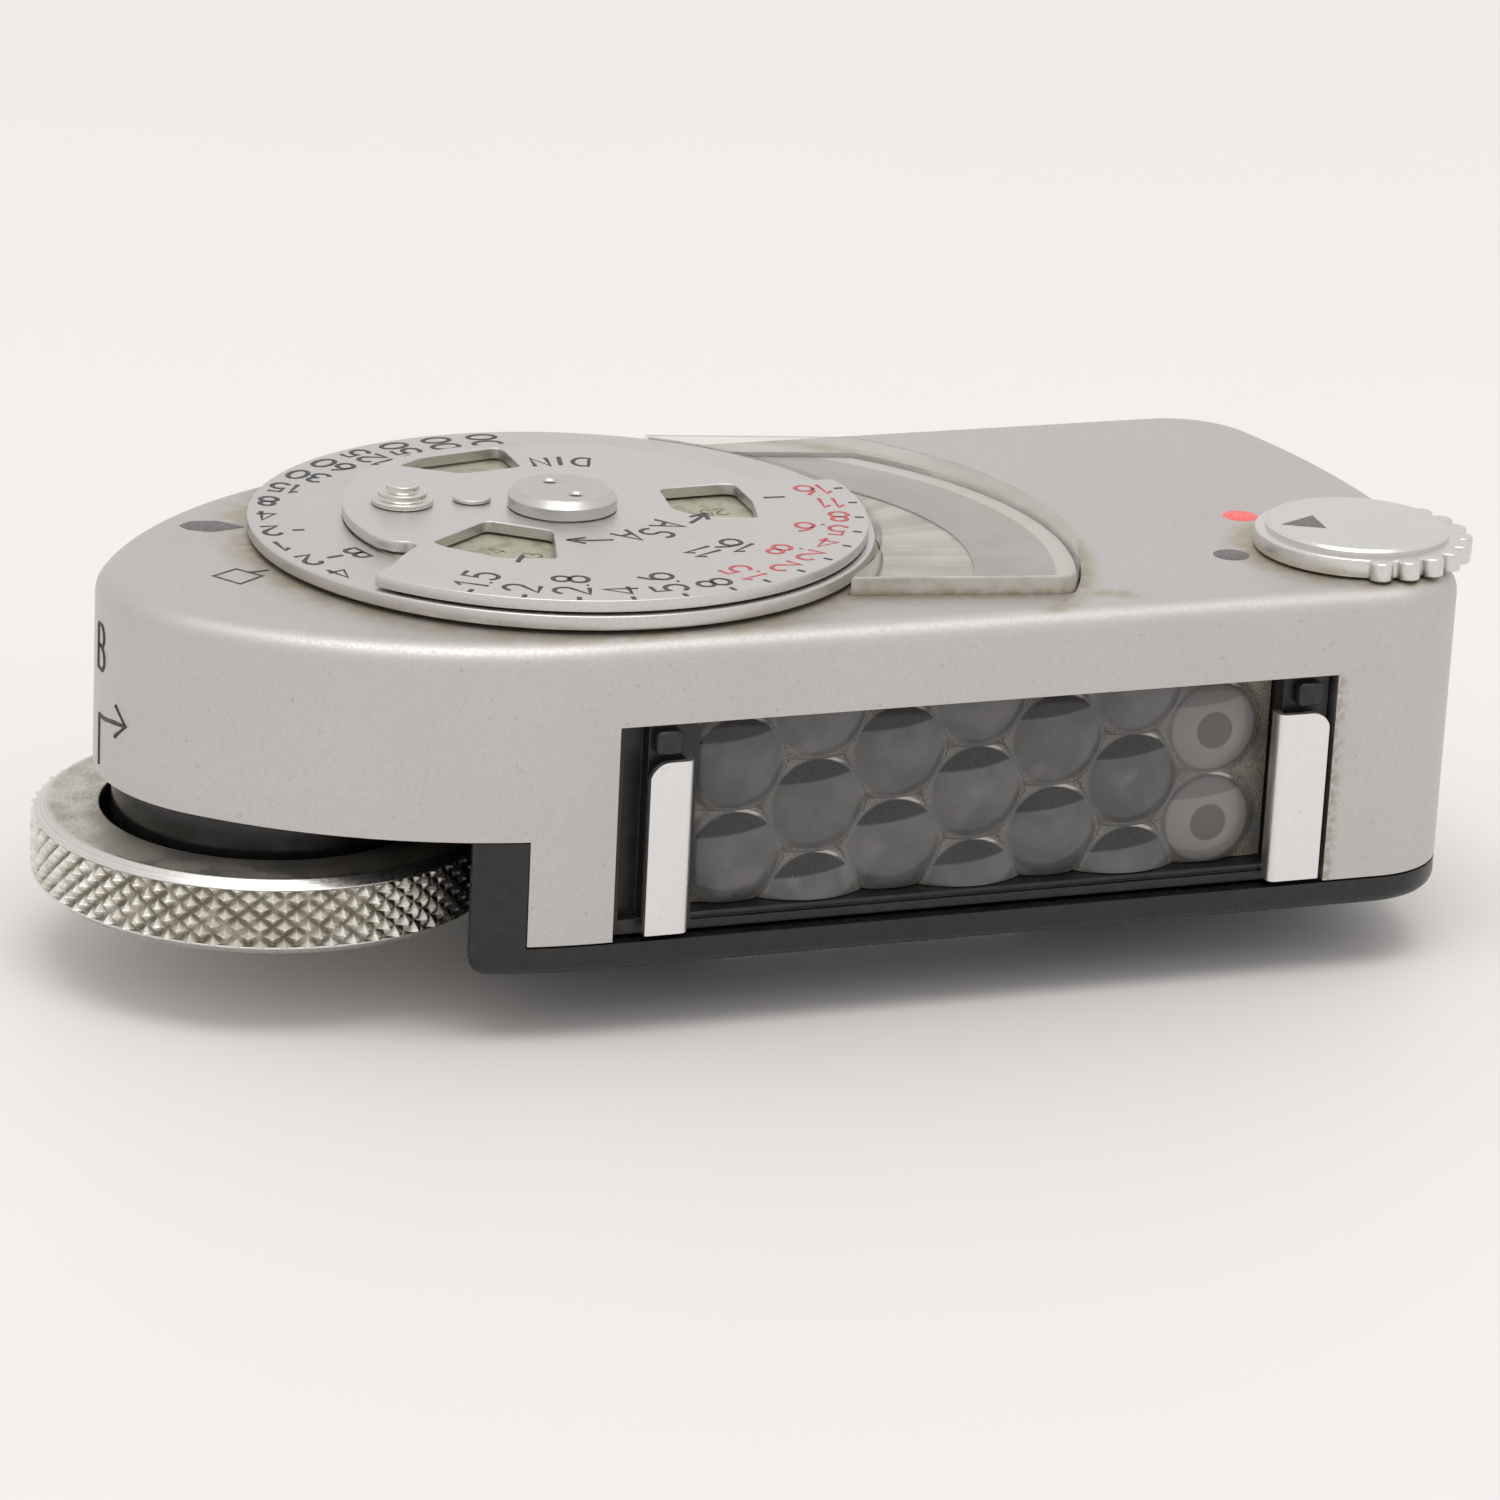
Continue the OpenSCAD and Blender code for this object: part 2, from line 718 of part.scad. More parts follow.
module range_lever() color("Silver") at(lever) difference() {
    union() {
        rotate([0, 0, 180]) cyl(5.3, lever_z, lever_z + 0.98);
        rotate_extrude($fn = 120) polygon([
            [0, lever_z + 0.9], [4.75, lever_z + 0.9], [4.35, 22.0], [0, 22.0]
        ]);
        for (k = [0:8]) rotate([0, 0, -102 + 16 * k]) at([5.35, 0])
            cyl(0.62, lever_z + 0.04, lever_z + 0.94);
    }
    cyl(1.3, 0, lever_z + 0.7);
}

module lever_shaft() color("DarkGray") at(lever) {
    cyl(1.5, 18.0, lever_z - 0.02);
    cyl(1.29, lever_z - 0.1, lever_z + 0.68);
    cyl(1.0, 15.2, 18.1);
}

module range_wiper() color("Goldenrod") at(lever) difference() {
    union() {
        cyl(1.9, 17.2, 17.5);
        rotate([0, 0, 165]) block(0, 5.2, -0.8, 0.8, 17.2, 17.5);
        rotate([0, 0, 165]) translate([4.6, 0, 0]) cyl(0.5, 16.95, 17.3);
    }
    cyl(1.01, 0, 30);
}

module range_plate() color("Sienna") difference() {
    union() {
        at(lever) slab(16, 16.6) sector(1.3, 5.8, 90, 190);
        at(lever) slab(16, 16.6) circle(2.2);
        for (a = [110, 165]) at(lever + 4.6 * [cos(a), sin(a)]) cyl(0.7, 16.5, 16.75);
        block(17, 21.5, -6.5, -1.6, 16, 16.6);
        at([18, -2.6]) cyl(0.9, 16.5, top_z - wall - 0.02);
    }
    at(lever) cyl(1.05, 0, 30);
}

module range_resistor() color("SaddleBrown") translate([14, 3.5, 7.5]) rotate([0, 90, 0]) {
    translate([0, 0, -3]) cylinder(r = 1.25, h = 6);
    translate([0, 0, -4.6]) cylinder(r = 0.3, h = 9.2, $fn = 32);
}

// ---------- node switch ----------

top_casing();
base_housing();
base_screws();
accessory_foot();
foot_spring();
foot_screws();
cell_frame();
honeycomb_lens();
cell_plate();
cell_contacts();
left_rail();
right_rail();
booster_contacts();
coupling_wheel();
coupling_pin();
wheel_spindle();
wheel_screw();
wheel_spring();
drive_pinion();
idler_post();
idler_gear();
gear_plate();
plate_screws();
dial_shaft();
dial_gear();
shutter_disc();
film_speed_disc();
aperture_disc();
setting_stud();
disc_rivet();
dial_nut();
window_cover();
scale_card();
needle();
coil_staff();
coil_former();
coil_winding();
core_magnet();
yoke_ring();
upper_bridge();
lower_bridge();
jewels();
hair_springs();
zero_screw();
range_lever();
lever_shaft();
range_wiper();
range_plate();
range_resistor();
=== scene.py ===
import json
import math

import bmesh
import bpy
import numpy as np
from mathutils import Matrix, Vector
from mathutils.geometry import tessellate_polygon

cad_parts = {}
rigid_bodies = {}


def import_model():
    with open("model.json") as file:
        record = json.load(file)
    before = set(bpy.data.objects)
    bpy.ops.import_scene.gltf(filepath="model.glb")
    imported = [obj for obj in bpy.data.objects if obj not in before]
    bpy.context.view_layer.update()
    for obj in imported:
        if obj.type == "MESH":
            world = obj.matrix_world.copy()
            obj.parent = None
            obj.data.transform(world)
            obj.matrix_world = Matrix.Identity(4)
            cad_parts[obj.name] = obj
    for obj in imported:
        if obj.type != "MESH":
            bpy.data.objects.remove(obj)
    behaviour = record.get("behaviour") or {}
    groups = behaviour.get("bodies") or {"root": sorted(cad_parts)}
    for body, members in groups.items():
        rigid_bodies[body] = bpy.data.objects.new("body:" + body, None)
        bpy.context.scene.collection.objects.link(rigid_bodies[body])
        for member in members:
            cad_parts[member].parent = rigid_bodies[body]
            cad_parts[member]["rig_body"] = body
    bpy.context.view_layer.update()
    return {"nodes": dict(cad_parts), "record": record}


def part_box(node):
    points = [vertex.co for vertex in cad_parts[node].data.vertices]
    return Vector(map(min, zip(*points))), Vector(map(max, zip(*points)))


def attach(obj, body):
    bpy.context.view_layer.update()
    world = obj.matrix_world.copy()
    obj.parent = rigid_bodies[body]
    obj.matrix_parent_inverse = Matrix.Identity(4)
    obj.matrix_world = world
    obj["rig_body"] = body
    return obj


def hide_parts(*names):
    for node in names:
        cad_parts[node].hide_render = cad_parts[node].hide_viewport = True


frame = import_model()
NODES = frame["nodes"]
MM = 0.001


# ---------- places and sizes in millimetres, from the frame ----------

def low(node, axis):
    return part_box(node)[0][axis] / MM


def high(node, axis):
    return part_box(node)[1][axis] / MM


def centre(node):
    return ((low(node, 0) + high(node, 0)) / 2, (low(node, 1) + high(node, 1)) / 2)


def about(origin, radius, angle):
    """The point at that radius and angle in degrees round origin."""
    a = math.radians(angle)
    return (origin[0] + radius * math.cos(a), origin[1] + radius * math.sin(a))


DIAL = centre("shutter_disc")
WHEEL = centre("coupling_wheel")
LEVER = centre("lever_shaft")
PIVOT = centre("coil_staff")

TOP = high("top_casing", 2)
SKIRT = low("top_casing", 2)
HALF = high("top_casing", 1)
FRONT = -HALF          # the casing's front face
BASE = low("base_housing", 2)
WALL = 1.0             # thickness of the casing's sheet
EDGE = 1.2             # radius of the casing's top edge
END = (-30.35, -1.69)  # centre of the casing's round end
END_R = 9.44           # its radius
NEAR_R = 26.8          # radius of the long curve in front
FAR_R = 26.0           # radius of the long curve at the back
CORNER_R = 5.0         # radius of the two corners on the right
CORNER_X = 24.35       # where those corners start
BULGE_R = 55.0         # radius of the gently curved right end
STEP_X = -24.8         # front left corner of the deep part of the base
STEP_Z = 10.57         # lower edge of the raised round end
TAB_X = -21.9          # left edge of the casing's deep skirt
SCREWS = [(25.2, 12), (16.5, -9.2), (-21, 11.8), (-20.6, -11.4)]

WHEEL_R = WHEEL[0] - low("coupling_wheel", 0)
POCKET_R = 12.44       # pocket of the base in which the wheel turns
BOSS_R = 7.85          # boss inside the wheel's rim
BAND_Z = (4.8, 7.7)    # lower and upper edge of the knurled band

DISC_R = high("shutter_disc", 0) - DIAL[0]
DISC_TOP = high("shutter_disc", 2)
UPPER_R = 15.65        # radius of the aperture disc
UPPER_TOP = high("aperture_disc", 2)
STUD = about(DIAL, 8.15, 164.3)
RIVET = about(DIAL, 4.65, 154.5)
NUT_HOLES = [about(DIAL, 1.26 * side, -76.6) for side in (-1, 1)]

ROUND = (4.95, -2.68)  # centre of the window's long round side, from the dial's axis
ROUND_R = 20.86        # its radius
WINDOW_ROUND = (DIAL[0] + ROUND[0], DIAL[1] + ROUND[1])
BAND_R = 15.5          # inner radius of the grey band under the window
LENS_PITCH = 4.95      # from one lens dome to the next
LEVER_TOP = 22.0
PAINT = 0.02           # thickness of a painted mark


# ---------- outlines ----------

def arc(origin, radius, a0, a1, step=0.5):
    """Points on an arc, about step mm apart, from angle a0 to a1 in degrees."""
    n = max(2, math.ceil(abs(math.radians(a1 - a0)) * radius / step))
    return [about(origin, radius, a0 + (a1 - a0) * i / n) for i in range(n + 1)]


def circle(origin, radius, step=0.4):
    return arc(origin, radius, 0, 360, step)[:-1]


def from_dial(points):
    """Points given from the dial's axis, in the frame."""
    return [(DIAL[0] + x, DIAL[1] + y) for x, y in points]


def tidy(points):
    """Drops points that repeat the one before."""
    return [p for i, p in enumerate(points) if math.dist(p, points[i - 1]) > 1e-5]


def anticlockwise(points):
    """The same loop, turned round if it runs clockwise."""
    area = sum(a[0] * b[1] - b[0] * a[1] for a, b in zip(points, points[1:] + points[:1]))
    return points if area > 0 else points[::-1]


def bearing(origin, p):
    """Angle in degrees from origin to p."""
    return math.degrees(math.atan2(p[1] - origin[1], p[0] - origin[0]))


def inward(points):
    """For each corner of a closed loop, the step that moves both its edges 1 mm to their left."""
    p = np.array(points, float)
    before, after = p - np.roll(p, 1, 0), np.roll(p, -1, 0) - p
    normals = []
    for e in (before, after):
        n = np.stack([-e[:, 1], e[:, 0]], 1)
        normals.append(n / np.linalg.norm(n, axis=1, keepdims=True))
    dot = (normals[0] * normals[1]).sum(1, keepdims=True)
    return (normals[0] + normals[1]) / np.maximum(1 + dot, 0.3)


def turn_at(points, i, radius, most, steps=4):
    """A smooth turn that replaces corner i and takes up at most that share of its edges."""
    p, a, b = (Vector(points[k % len(points)]) for k in (i, i - 1, i + 1))
    start = p + (a - p).normalized() * min(radius, (a - p).length * most)
    end = p + (b - p).normalized() * min(radius, (b - p).length * most)
    shares = [k / steps for k in range(steps + 1)]
    return [tuple(start * (1 - t) ** 2 + p * (2 * t * (1 - t)) + end * t * t) for t in shares]


def soften(points, radius, steps=4):
    """Rounds every corner of a closed polygon."""
    return tidy([q for i in range(len(points)) for q in turn_at(points, i, radius, 0.45, steps)])


def soften_corner(points, corner, radius):
    """Rounds the one corner of a plan nearest a point."""
    i = min(range(len(points)), key=lambda k: math.dist(points[k], corner))
    return points[:i] + turn_at(points, i, radius, 0.9) + points[i + 1:]


def edge_levels(z0, z1, bottom=0.0, top=0.0, steps=4):
    """(inset, height) pairs up a wall whose lower and upper edges are rounded."""
    turns = [math.pi / 2 * k / steps for k in range(steps + 1)]
    foot = [(bottom * (1 - math.sin(a)), z0 + bottom * (1 - math.cos(a))) for a in turns]
    head = [(top * (1 - math.cos(a)), z1 - top * (1 - math.sin(a))) for a in turns]
    return (foot if bottom else [(0, z0)]) + (head if top else [(0, z1)])


# centres and end angles of the casing's long curves and of its right end
NEAR_Y = NEAR_R - HALF
FAR_Y = HALF - FAR_R
NEAR_X = END[0] + math.sqrt((NEAR_R - END_R) ** 2 - (NEAR_Y - END[1]) ** 2)
FAR_X = END[0] + math.sqrt((FAR_R - END_R) ** 2 - (FAR_Y - END[1]) ** 2)
NEAR_A = bearing((NEAR_X, NEAR_Y), END) + 360
FAR_A = bearing((FAR_X, FAR_Y), END)
CORNER_Y = HALF - CORNER_R
BULGE_A = math.degrees(math.asin(CORNER_Y / (BULGE_R - CORNER_R)))
BULGE_X = CORNER_X - (BULGE_R - CORNER_R) * math.cos(math.radians(BULGE_A))


def near_y(x):
    """The casing's front face at x, on the long curve."""
    return NEAR_Y - math.sqrt(NEAR_R ** 2 - (x - NEAR_X) ** 2)


def far_y(x):
    """Its back face at x."""
    return FAR_Y + math.sqrt(FAR_R ** 2 - (x - FAR_X) ** 2)


STEP_CORNER = (STEP_X, near_y(STEP_X))


def right_part():
    """The casing's outline from its lower right corner round the end to the upper one."""
    return (
        arc((CORNER_X, -CORNER_Y), CORNER_R, -90, -BULGE_A)
        + arc((BULGE_X, 0), BULGE_R, -BULGE_A, BULGE_A, 1.0)
        + arc((CORNER_X, CORNER_Y), CORNER_R, BULGE_A, 90)
    )


def casing_plan():
    near = arc((NEAR_X, NEAR_Y), NEAR_R, NEAR_A, 270, 0.8)
    far = arc((FAR_X, FAR_Y), FAR_R, 90, FAR_A, 0.8)
    return tidy(near + right_part() + far + arc(END, END_R, FAR_A, NEAR_A))


def pocket_meeting(p, side):
    """Bearing from the wheel of the point where the base's slanted end from p meets the pocket."""
    way = Vector((0.4, side)).normalized()
    off = Vector(p) - Vector(WHEEL)
    b, c = off.dot(way), off.dot(off) - POCKET_R ** 2
    reach = -b - math.sqrt(max(b * b - c, 0))
    return bearing(WHEEL, tuple(Vector(p) + way * reach))


def deep_plan():
    """The deep part of the base, with the pocket for the wheel taken out."""
    rear = (STEP_X, far_y(STEP_X))
    near = [STEP_CORNER] + [(x, near_y(x)) for x in np.arange(STEP_X + 1.6, NEAR_X, 0.8)]
    far = [(x, far_y(x)) for x in np.arange(STEP_X + 1.6, FAR_X, 0.8)][::-1] + [rear]
    pocket = arc(WHEEL, POCKET_R, pocket_meeting(rear, -1), pocket_meeting(STEP_CORNER, 1))
    return tidy(near + right_part() + far + pocket)


def block_plan(x_to, back=False):
    """The block of the base between the pocket and x_to, in front or at the back."""
    a = math.degrees(math.acos((x_to - WHEEL[0]) / POCKET_R))
    if back:
        edge = [(x, far_y(x)) for x in np.linspace(x_to, STEP_X, 6)]
        return tidy(edge + arc(WHEEL, POCKET_R, pocket_meeting((STEP_X, far_y(STEP_X)), -1), a))
    edge = [(x, near_y(x)) for x in np.linspace(STEP_X, x_to, 6)]
    return tidy(edge + arc(WHEEL, POCKET_R, -a, pocket_meeting(STEP_CORNER, 1)))


def crossing(line, origin, radius):
    """Where a line leaves a circle."""
    p, q = Vector(line[0]), Vector(line[1])
    d, o = q - p, p - Vector(origin)
    a, b, c = d.dot(d), 2 * o.dot(d), o.dot(o) - radius ** 2
    return tuple(p + d * ((-b + math.sqrt(b * b - 4 * a * c)) / (2 * a)))


def window_plan(grow=0.0):
    """Outline of the reading window, grown by that much: the dial's clearance on the left, a long
    round side on the right, and two nearly straight ends."""
    axis = (0.0, 0.0)
    outer_r, inner_r, x0 = ROUND_R + grow, 16.35 - grow, 9.4 - grow
    front = ((x0, -11.83 - grow), (30, -15.62 - grow))
    back = ((x0, 13.9 + grow), (30, 9.1 + grow))
    p0 = crossing(front, axis, inner_r)
    p1 = crossing(front, ROUND, outer_r)
    p2 = crossing(back, ROUND, outer_r)
    p4 = (x0, math.sqrt(inner_r ** 2 - x0 ** 2))
    loop = [p0]
    loop += arc(ROUND, outer_r, bearing(ROUND, p1), bearing(ROUND, p2), 0.6)
    loop += [back[0]]
    loop += arc(axis, inner_r, bearing(axis, p4), bearing(axis, p0), 0.6)[:-1]
    loop = soften_corner(soften_corner(tidy(loop), p1, 0.5), p0, 0.55)
    return tidy(from_dial(loop))


# ---------- mesh makers ----------

def link(name, data):
    """A new object in the scene."""
    obj = bpy.data.objects.new(name, data)
    bpy.context.scene.collection.objects.link(obj)
    return obj


def new_object(name, verts, faces, smooth=True):
    mesh = bpy.data.meshes.new(name)
    bm = bmesh.new()
    points = [bm.verts.new([c * MM for c in v]) for v in verts]
    for f in faces:
        if len(set(f)) > 2:
            try:
                bm.faces.new([points[i] for i in f])
            except ValueError:
                pass
    bmesh.ops.remove_doubles(bm, verts=bm.verts, dist=1e-7)
    bmesh.ops.recalc_face_normals(bm, faces=bm.faces)
    bm.to_mesh(mesh)
    bm.free()
    for p in mesh.polygons:
        p.use_smooth = smooth
    return link(name, mesh)


def band(a, b, n):
    """Faces between two rings of n points that start at a and b."""
    return [(a + i, a + (i + 1) % n, b + (i + 1) % n, b + i) for i in range(n)]


def loft(name, loops, levels):
    """A solid whose walls follow the loops through the (inset, height) levels, closed at both ends.
    The first loop runs anticlockwise; the others are clockwise holes."""
    verts, faces, ends = [], [], []
    for loop in loops:
        step, flat, n = inward(loop), np.array(loop, float), len(loop)
        rings = []
        for inset, z in levels:
            rings.append(len(verts))
            verts += [(x, y, z) for x, y in flat + step * inset]
        for a, b in zip(rings, rings[1:]):
            faces += band(a, b, n)
        ends.append((rings[0], rings[-1], n))
    for which in (0, 1):
        rims = [[Vector(verts[e[which] + i]) for i in range(e[2])] for e in ends]
        index = [e[which] + i for e in ends for i in range(e[2])]
        faces += [tuple(index[i] for i in t) for t in tessellate_polygon(rims)]
    return new_object(name, verts, faces)


def prism(name, loop, z0, z1):
    return loft(name, [loop], [(0, z0), (0, z1)])


def box(name, x0, x1, y0, y1, z0, z1):
    return prism(name, [(x0, y0), (x1, y0), (x1, y1), (x0, y1)], z0, z1)


def lathe(name, profile, origin, segments=128, soft=0.0):
    """Turns a closed (radius, height) profile round a vertical axis."""
    if soft:
        profile = soften(profile, soft, 3)
    verts, faces, n = [], [], len(profile)
    for s in range(segments):
        verts += [(*about(origin, max(r, 0), 360 * s / segments), z) for r, z in profile]
        t = (s + 1) % segments
        faces += [(s * n + i, t * n + i, t * n + (i + 1) % n, s * n + (i + 1) % n) for i in range(n)]
    return new_object(name, verts, faces)


def settled(obj):
    """The mesh an object has with its modifiers applied."""
    bpy.context.view_layer.update()
    return bpy.data.meshes.new_from_object(obj.evaluated_get(bpy.context.evaluated_depsgraph_get()))


def settle(obj):
    """Applies the modifiers an object has so far."""
    mesh = settled(obj)
    obj.modifiers.clear()
    obj.data = mesh


def cut(obj, *cutters):
    """Takes the cutters out of an object."""
    for cutter in cutters:
        m = obj.modifiers.new("cut", "BOOLEAN")
        m.operation = "DIFFERENCE"
        m.solver = "EXACT"
        m.object = cutter
        settle(obj)
        bpy.data.objects.remove(cutter)


def polish(obj, bevel=0.0, angle=40, segments=2):
    """Breaks the sharp edges and sets the shading."""
    for p in obj.data.polygons:
        p.use_smooth = True
    if bevel:
        m = obj.modifiers.new("edges", "BEVEL")
        m.width = bevel * MM
        m.segments = segments
        m.limit_method = "ANGLE"
        m.angle_limit = math.radians(angle)
        settle(obj)
    obj.data.set_sharp_from_angle(angle=math.radians(angle))
    m = obj.modifiers.new("normals", "WEIGHTED_NORMAL")
    m.keep_sharp = True
    m.weight = 80
    return obj


def place(obj, material, body, replaces=()):
    """Gives a piece its material, the body it rides on and the CAD nodes it replaces."""
    obj.data.materials.clear()
    obj.data.materials.append(material)
    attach(obj, body)
    if replaces:
        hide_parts(*replaces)


def body_of(node):
    return NODES[node]["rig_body"]


# ---------- materials ----------

class Finish:
    """A Principled material whose nodes work in millimetres of the object's own space."""

    def __init__(self, name, base, roughness, metallic=0.0, **settings):
        self.material = bpy.data.materials.new(name)
        self.material.use_nodes = True
        self.tree = self.material.node_tree
        self.shader = self.tree.nodes["Principled BSDF"]
        self.colour = base
        self.set("Base Color", base)
        self.set("Roughness", roughness)
        self.set("Metallic", metallic)
        for key, value in settings.items():
            self.set(key.replace("_", " "), value)
        scale = self.add("ShaderNodeVectorMath", operation="SCALE")
        scale.inputs["Scale"].default_value = 1 / MM
        self.put(scale.inputs[0], self.add("ShaderNodeTexCoord").outputs["Object"])
        self.place = scale.outputs[0]
        self.x, self.y, self.z = self.split(self.place)

    def add(self, kind, **props):
        node = self.tree.nodes.new(kind)
        for key, value in props.items():
            setattr(node, key, value)
        return node

    def put(self, socket, value):
        """Links a socket to another one, or sets it to a plain value."""
        if isinstance(value, bpy.types.NodeSocket):
            self.tree.links.new(value, socket)
        elif isinstance(value, tuple) and len(value) == 3 and socket.type == "RGBA":
            socket.default_value = (*value, 1)
        else:
            socket.default_value = value

    def set(self, name, value):
        self.put(self.shader.inputs[name], value)

    def split(self, vector):
        node = self.add("ShaderNodeSeparateXYZ")
        self.put(node.inputs[0], vector)
        return node.outputs

    def math(self, operation, a, b=0.0):
        node = self.add("ShaderNodeMath", operation=operation)
        self.put(node.inputs[0], a)
        self.put(node.inputs[1], b)
        return node.outputs[0]

    def times(self, first, *others):
        for other in others:
            first = self.math("MULTIPLY", first, other)
        return first

    def gap(self, a, b):
        """How far a is from b, either way."""
        return self.math("ABSOLUTE", self.math("SUBTRACT", a, b))

    def length(self, x, y):
        return self.math("SQRT", self.math("ADD", self.times(x, x), self.times(y, y)))

    def noise(self, scale, detail=3.0, vector=None):
        node = self.add("ShaderNodeTexNoise")
        node.inputs["Scale"].default_value = scale
        node.inputs["Detail"].default_value = detail
        self.put(node.inputs["Vector"], vector or self.place)
        return node.outputs["Fac"]

    def specks(self, scale, outer, inner):
        """Small round spots, scattered about."""
        node = self.add("ShaderNodeTexVoronoi")
        node.inputs["Scale"].default_value = scale
        self.put(node.inputs["Vector"], self.place)
        return self.remap(node.outputs["Distance"], outer, inner)

    def remap(self, value, a, b, c=0.0, d=1.0):
        """Goes smoothly from c to d as value goes from a to b."""
        node = self.add("ShaderNodeMapRange", interpolation_type="SMOOTHSTEP")
        for i, v in enumerate((value, a, b, c, d)):
            self.put(node.inputs[i], v)
        return node.outputs[0]

    def patches(self, scale, detail, a, b, c=0.0, d=1.0):
        """Noise that goes from c to d between its values a and b."""
        return self.remap(self.noise(scale, detail), a, b, c, d)

    def mix(self, share, a, b):
        node = self.add("ShaderNodeMix", data_type="RGBA")
        self.put(node.inputs[0], share)
        self.put(node.inputs[6], a)
        self.put(node.inputs[7], b)
        return node.outputs[2]

    def along(self, x, z=0.0):
        """A place for noise that changes only with x and z."""
        node = self.add("ShaderNodeCombineXYZ")
        for i, v in enumerate((x, 0.0, z)):
            self.put(node.inputs[i], v)
        return node.outputs[0]

    def distance(self, origin):
        """Distance from a vertical axis."""
        return self.length(self.math("SUBTRACT", self.x, origin[0]), self.math("SUBTRACT", self.y, origin[1]))

    def angle(self, origin):
        """Angle round a vertical axis, in degrees."""
        dx, dy = self.math("SUBTRACT", self.x, origin[0]), self.math("SUBTRACT", self.y, origin[1])
        return self.times(self.math("ARCTAN2", dy, dx), 180 / math.pi)

    def bump(self, height, depth):
        """Relief of that depth in mm."""
        node = self.add("ShaderNodeBump")
        node.inputs["Strength"].default_value = 1.0
        node.inputs["Distance"].default_value = depth * MM
        self.put(node.inputs["Height"], height)
        self.set("Normal", node.outputs[0])

    def wander(self, roughness, less, more, scale, detail=3):
        """Lets the roughness wander about its mean."""
        self.set("Roughness", self.patches(scale, detail, 0.3, 0.7, roughness - less, roughness + more))

    def shades(self, a, b, scale, share=1.0):
        """Base colour that wanders between two shades."""
        self.blend(self.patches(scale, 4, 0.35, 0.65, 0, share), a, b)

    def blend(self, share, a, b):
        """Base colour between a and b."""
        self.colour = self.mix(share, a, b)
        self.set("Base Color", self.colour)

    def over(self, mask, colour, roughness=None):
        """Lays dirt or paint of that colour over the base colour."""
        self.blend(mask, self.colour, colour)
        if roughness is not None:
            now = self.shader.inputs["Roughness"]
            node = self.add("ShaderNodeMix", data_type="FLOAT")
            self.put(node.inputs[0], mask)
            self.put(node.inputs[2], now.links[0].from_socket if now.is_linked else now.default_value)
            self.put(node.inputs[3], roughness)
            self.set("Roughness", node.outputs[0])

    def see_through(self, share, tint=(1.0, 1.0, 1.0)):
        """Shows the finish to that share and what lies behind it, tinted, for the rest."""
        clear = self.add("ShaderNodeBsdfTransparent")
        self.put(clear.inputs["Color"], tint)
        skin = self.add("ShaderNodeMixShader")
        for i, v in enumerate((share, clear.outputs[0], self.shader.outputs[0])):
            self.put(skin.inputs[i], v)
        self.put(self.tree.nodes["Material Output"].inputs["Surface"], skin.outputs[0])


DUST = (0.36, 0.31, 0.22)
PALE_SPECK = (0.55, 0.53, 0.5)


def satin(name, light, dark, roughness, grain=7.0, relief=0.006, metallic=1.0):
    """Blasted or pearl-chromed metal: fine grain, faint speckle and slow clouds of tone."""
    f = Finish(name, light, roughness, metallic)
    f.shades(light, dark, 6.0, 0.4)
    f.over(f.patches(0.12, 2, 0.35, 0.7, 0, 0.25), dark)
    f.over(f.patches(2.6, 1, 0.74, 0.8, 0, 0.3), tuple(c * 0.5 for c in dark))
    f.wander(roughness, 0.05, 0.06, grain, 2)
    f.bump(f.noise(grain, 3), relief * 1.6)
    return f


def turned(name, light, dark, roughness, origin):
    """Lathe-turned metal: fine rings round the axis."""
    f = Finish(name, light, roughness, 1.0)
    rings = f.noise(14, 2, f.along(f.distance(origin), f.z))
    f.blend(f.remap(rings, 0.35, 0.65), light, dark)
    f.over(f.patches(0.7, 3, 0.45, 0.75, 0, 0.4), dark)
    f.wander(roughness, 0.04, 0.06, 5, 2)
    f.bump(rings, 0.003)
    return f


def painted(name, colour, roughness=0.45):
    """Filled or printed colour, slightly uneven and worn."""
    f = Finish(name, colour, roughness)
    f.shades(colour, tuple(min(1, c * 1.5 + 0.015) for c in colour), 5.0, 0.8)
    f.wander(roughness, 0.1, 0.15, 8, 2)
    f.bump(f.noise(12, 2), 0.004)
    return f


def black_plastic(name, dusty=0.5, roughness=0.3):
    """Black moulding, hazy and speckled to the share of dust."""
    f = Finish(name, (0.011, 0.0105, 0.0105), roughness)
    f.shades((0.008, 0.0078, 0.0078), (0.013, 0.0122, 0.012), 1.4)
    f.over(f.patches(0.8, 4, 0.45, 0.8, 0, 0.2 * dusty), (0.07, 0.065, 0.055))
    spots = f.times(f.specks(2.2, 0.045, 0.02), f.patches(0.35, 1, 0.5, 0.6), dusty)
    f.over(spots, (0.45, 0.43, 0.38))
    f.wander(roughness, 0.06, 0.1, 4)
    f.bump(f.noise(6, 3), 0.004)
    return f


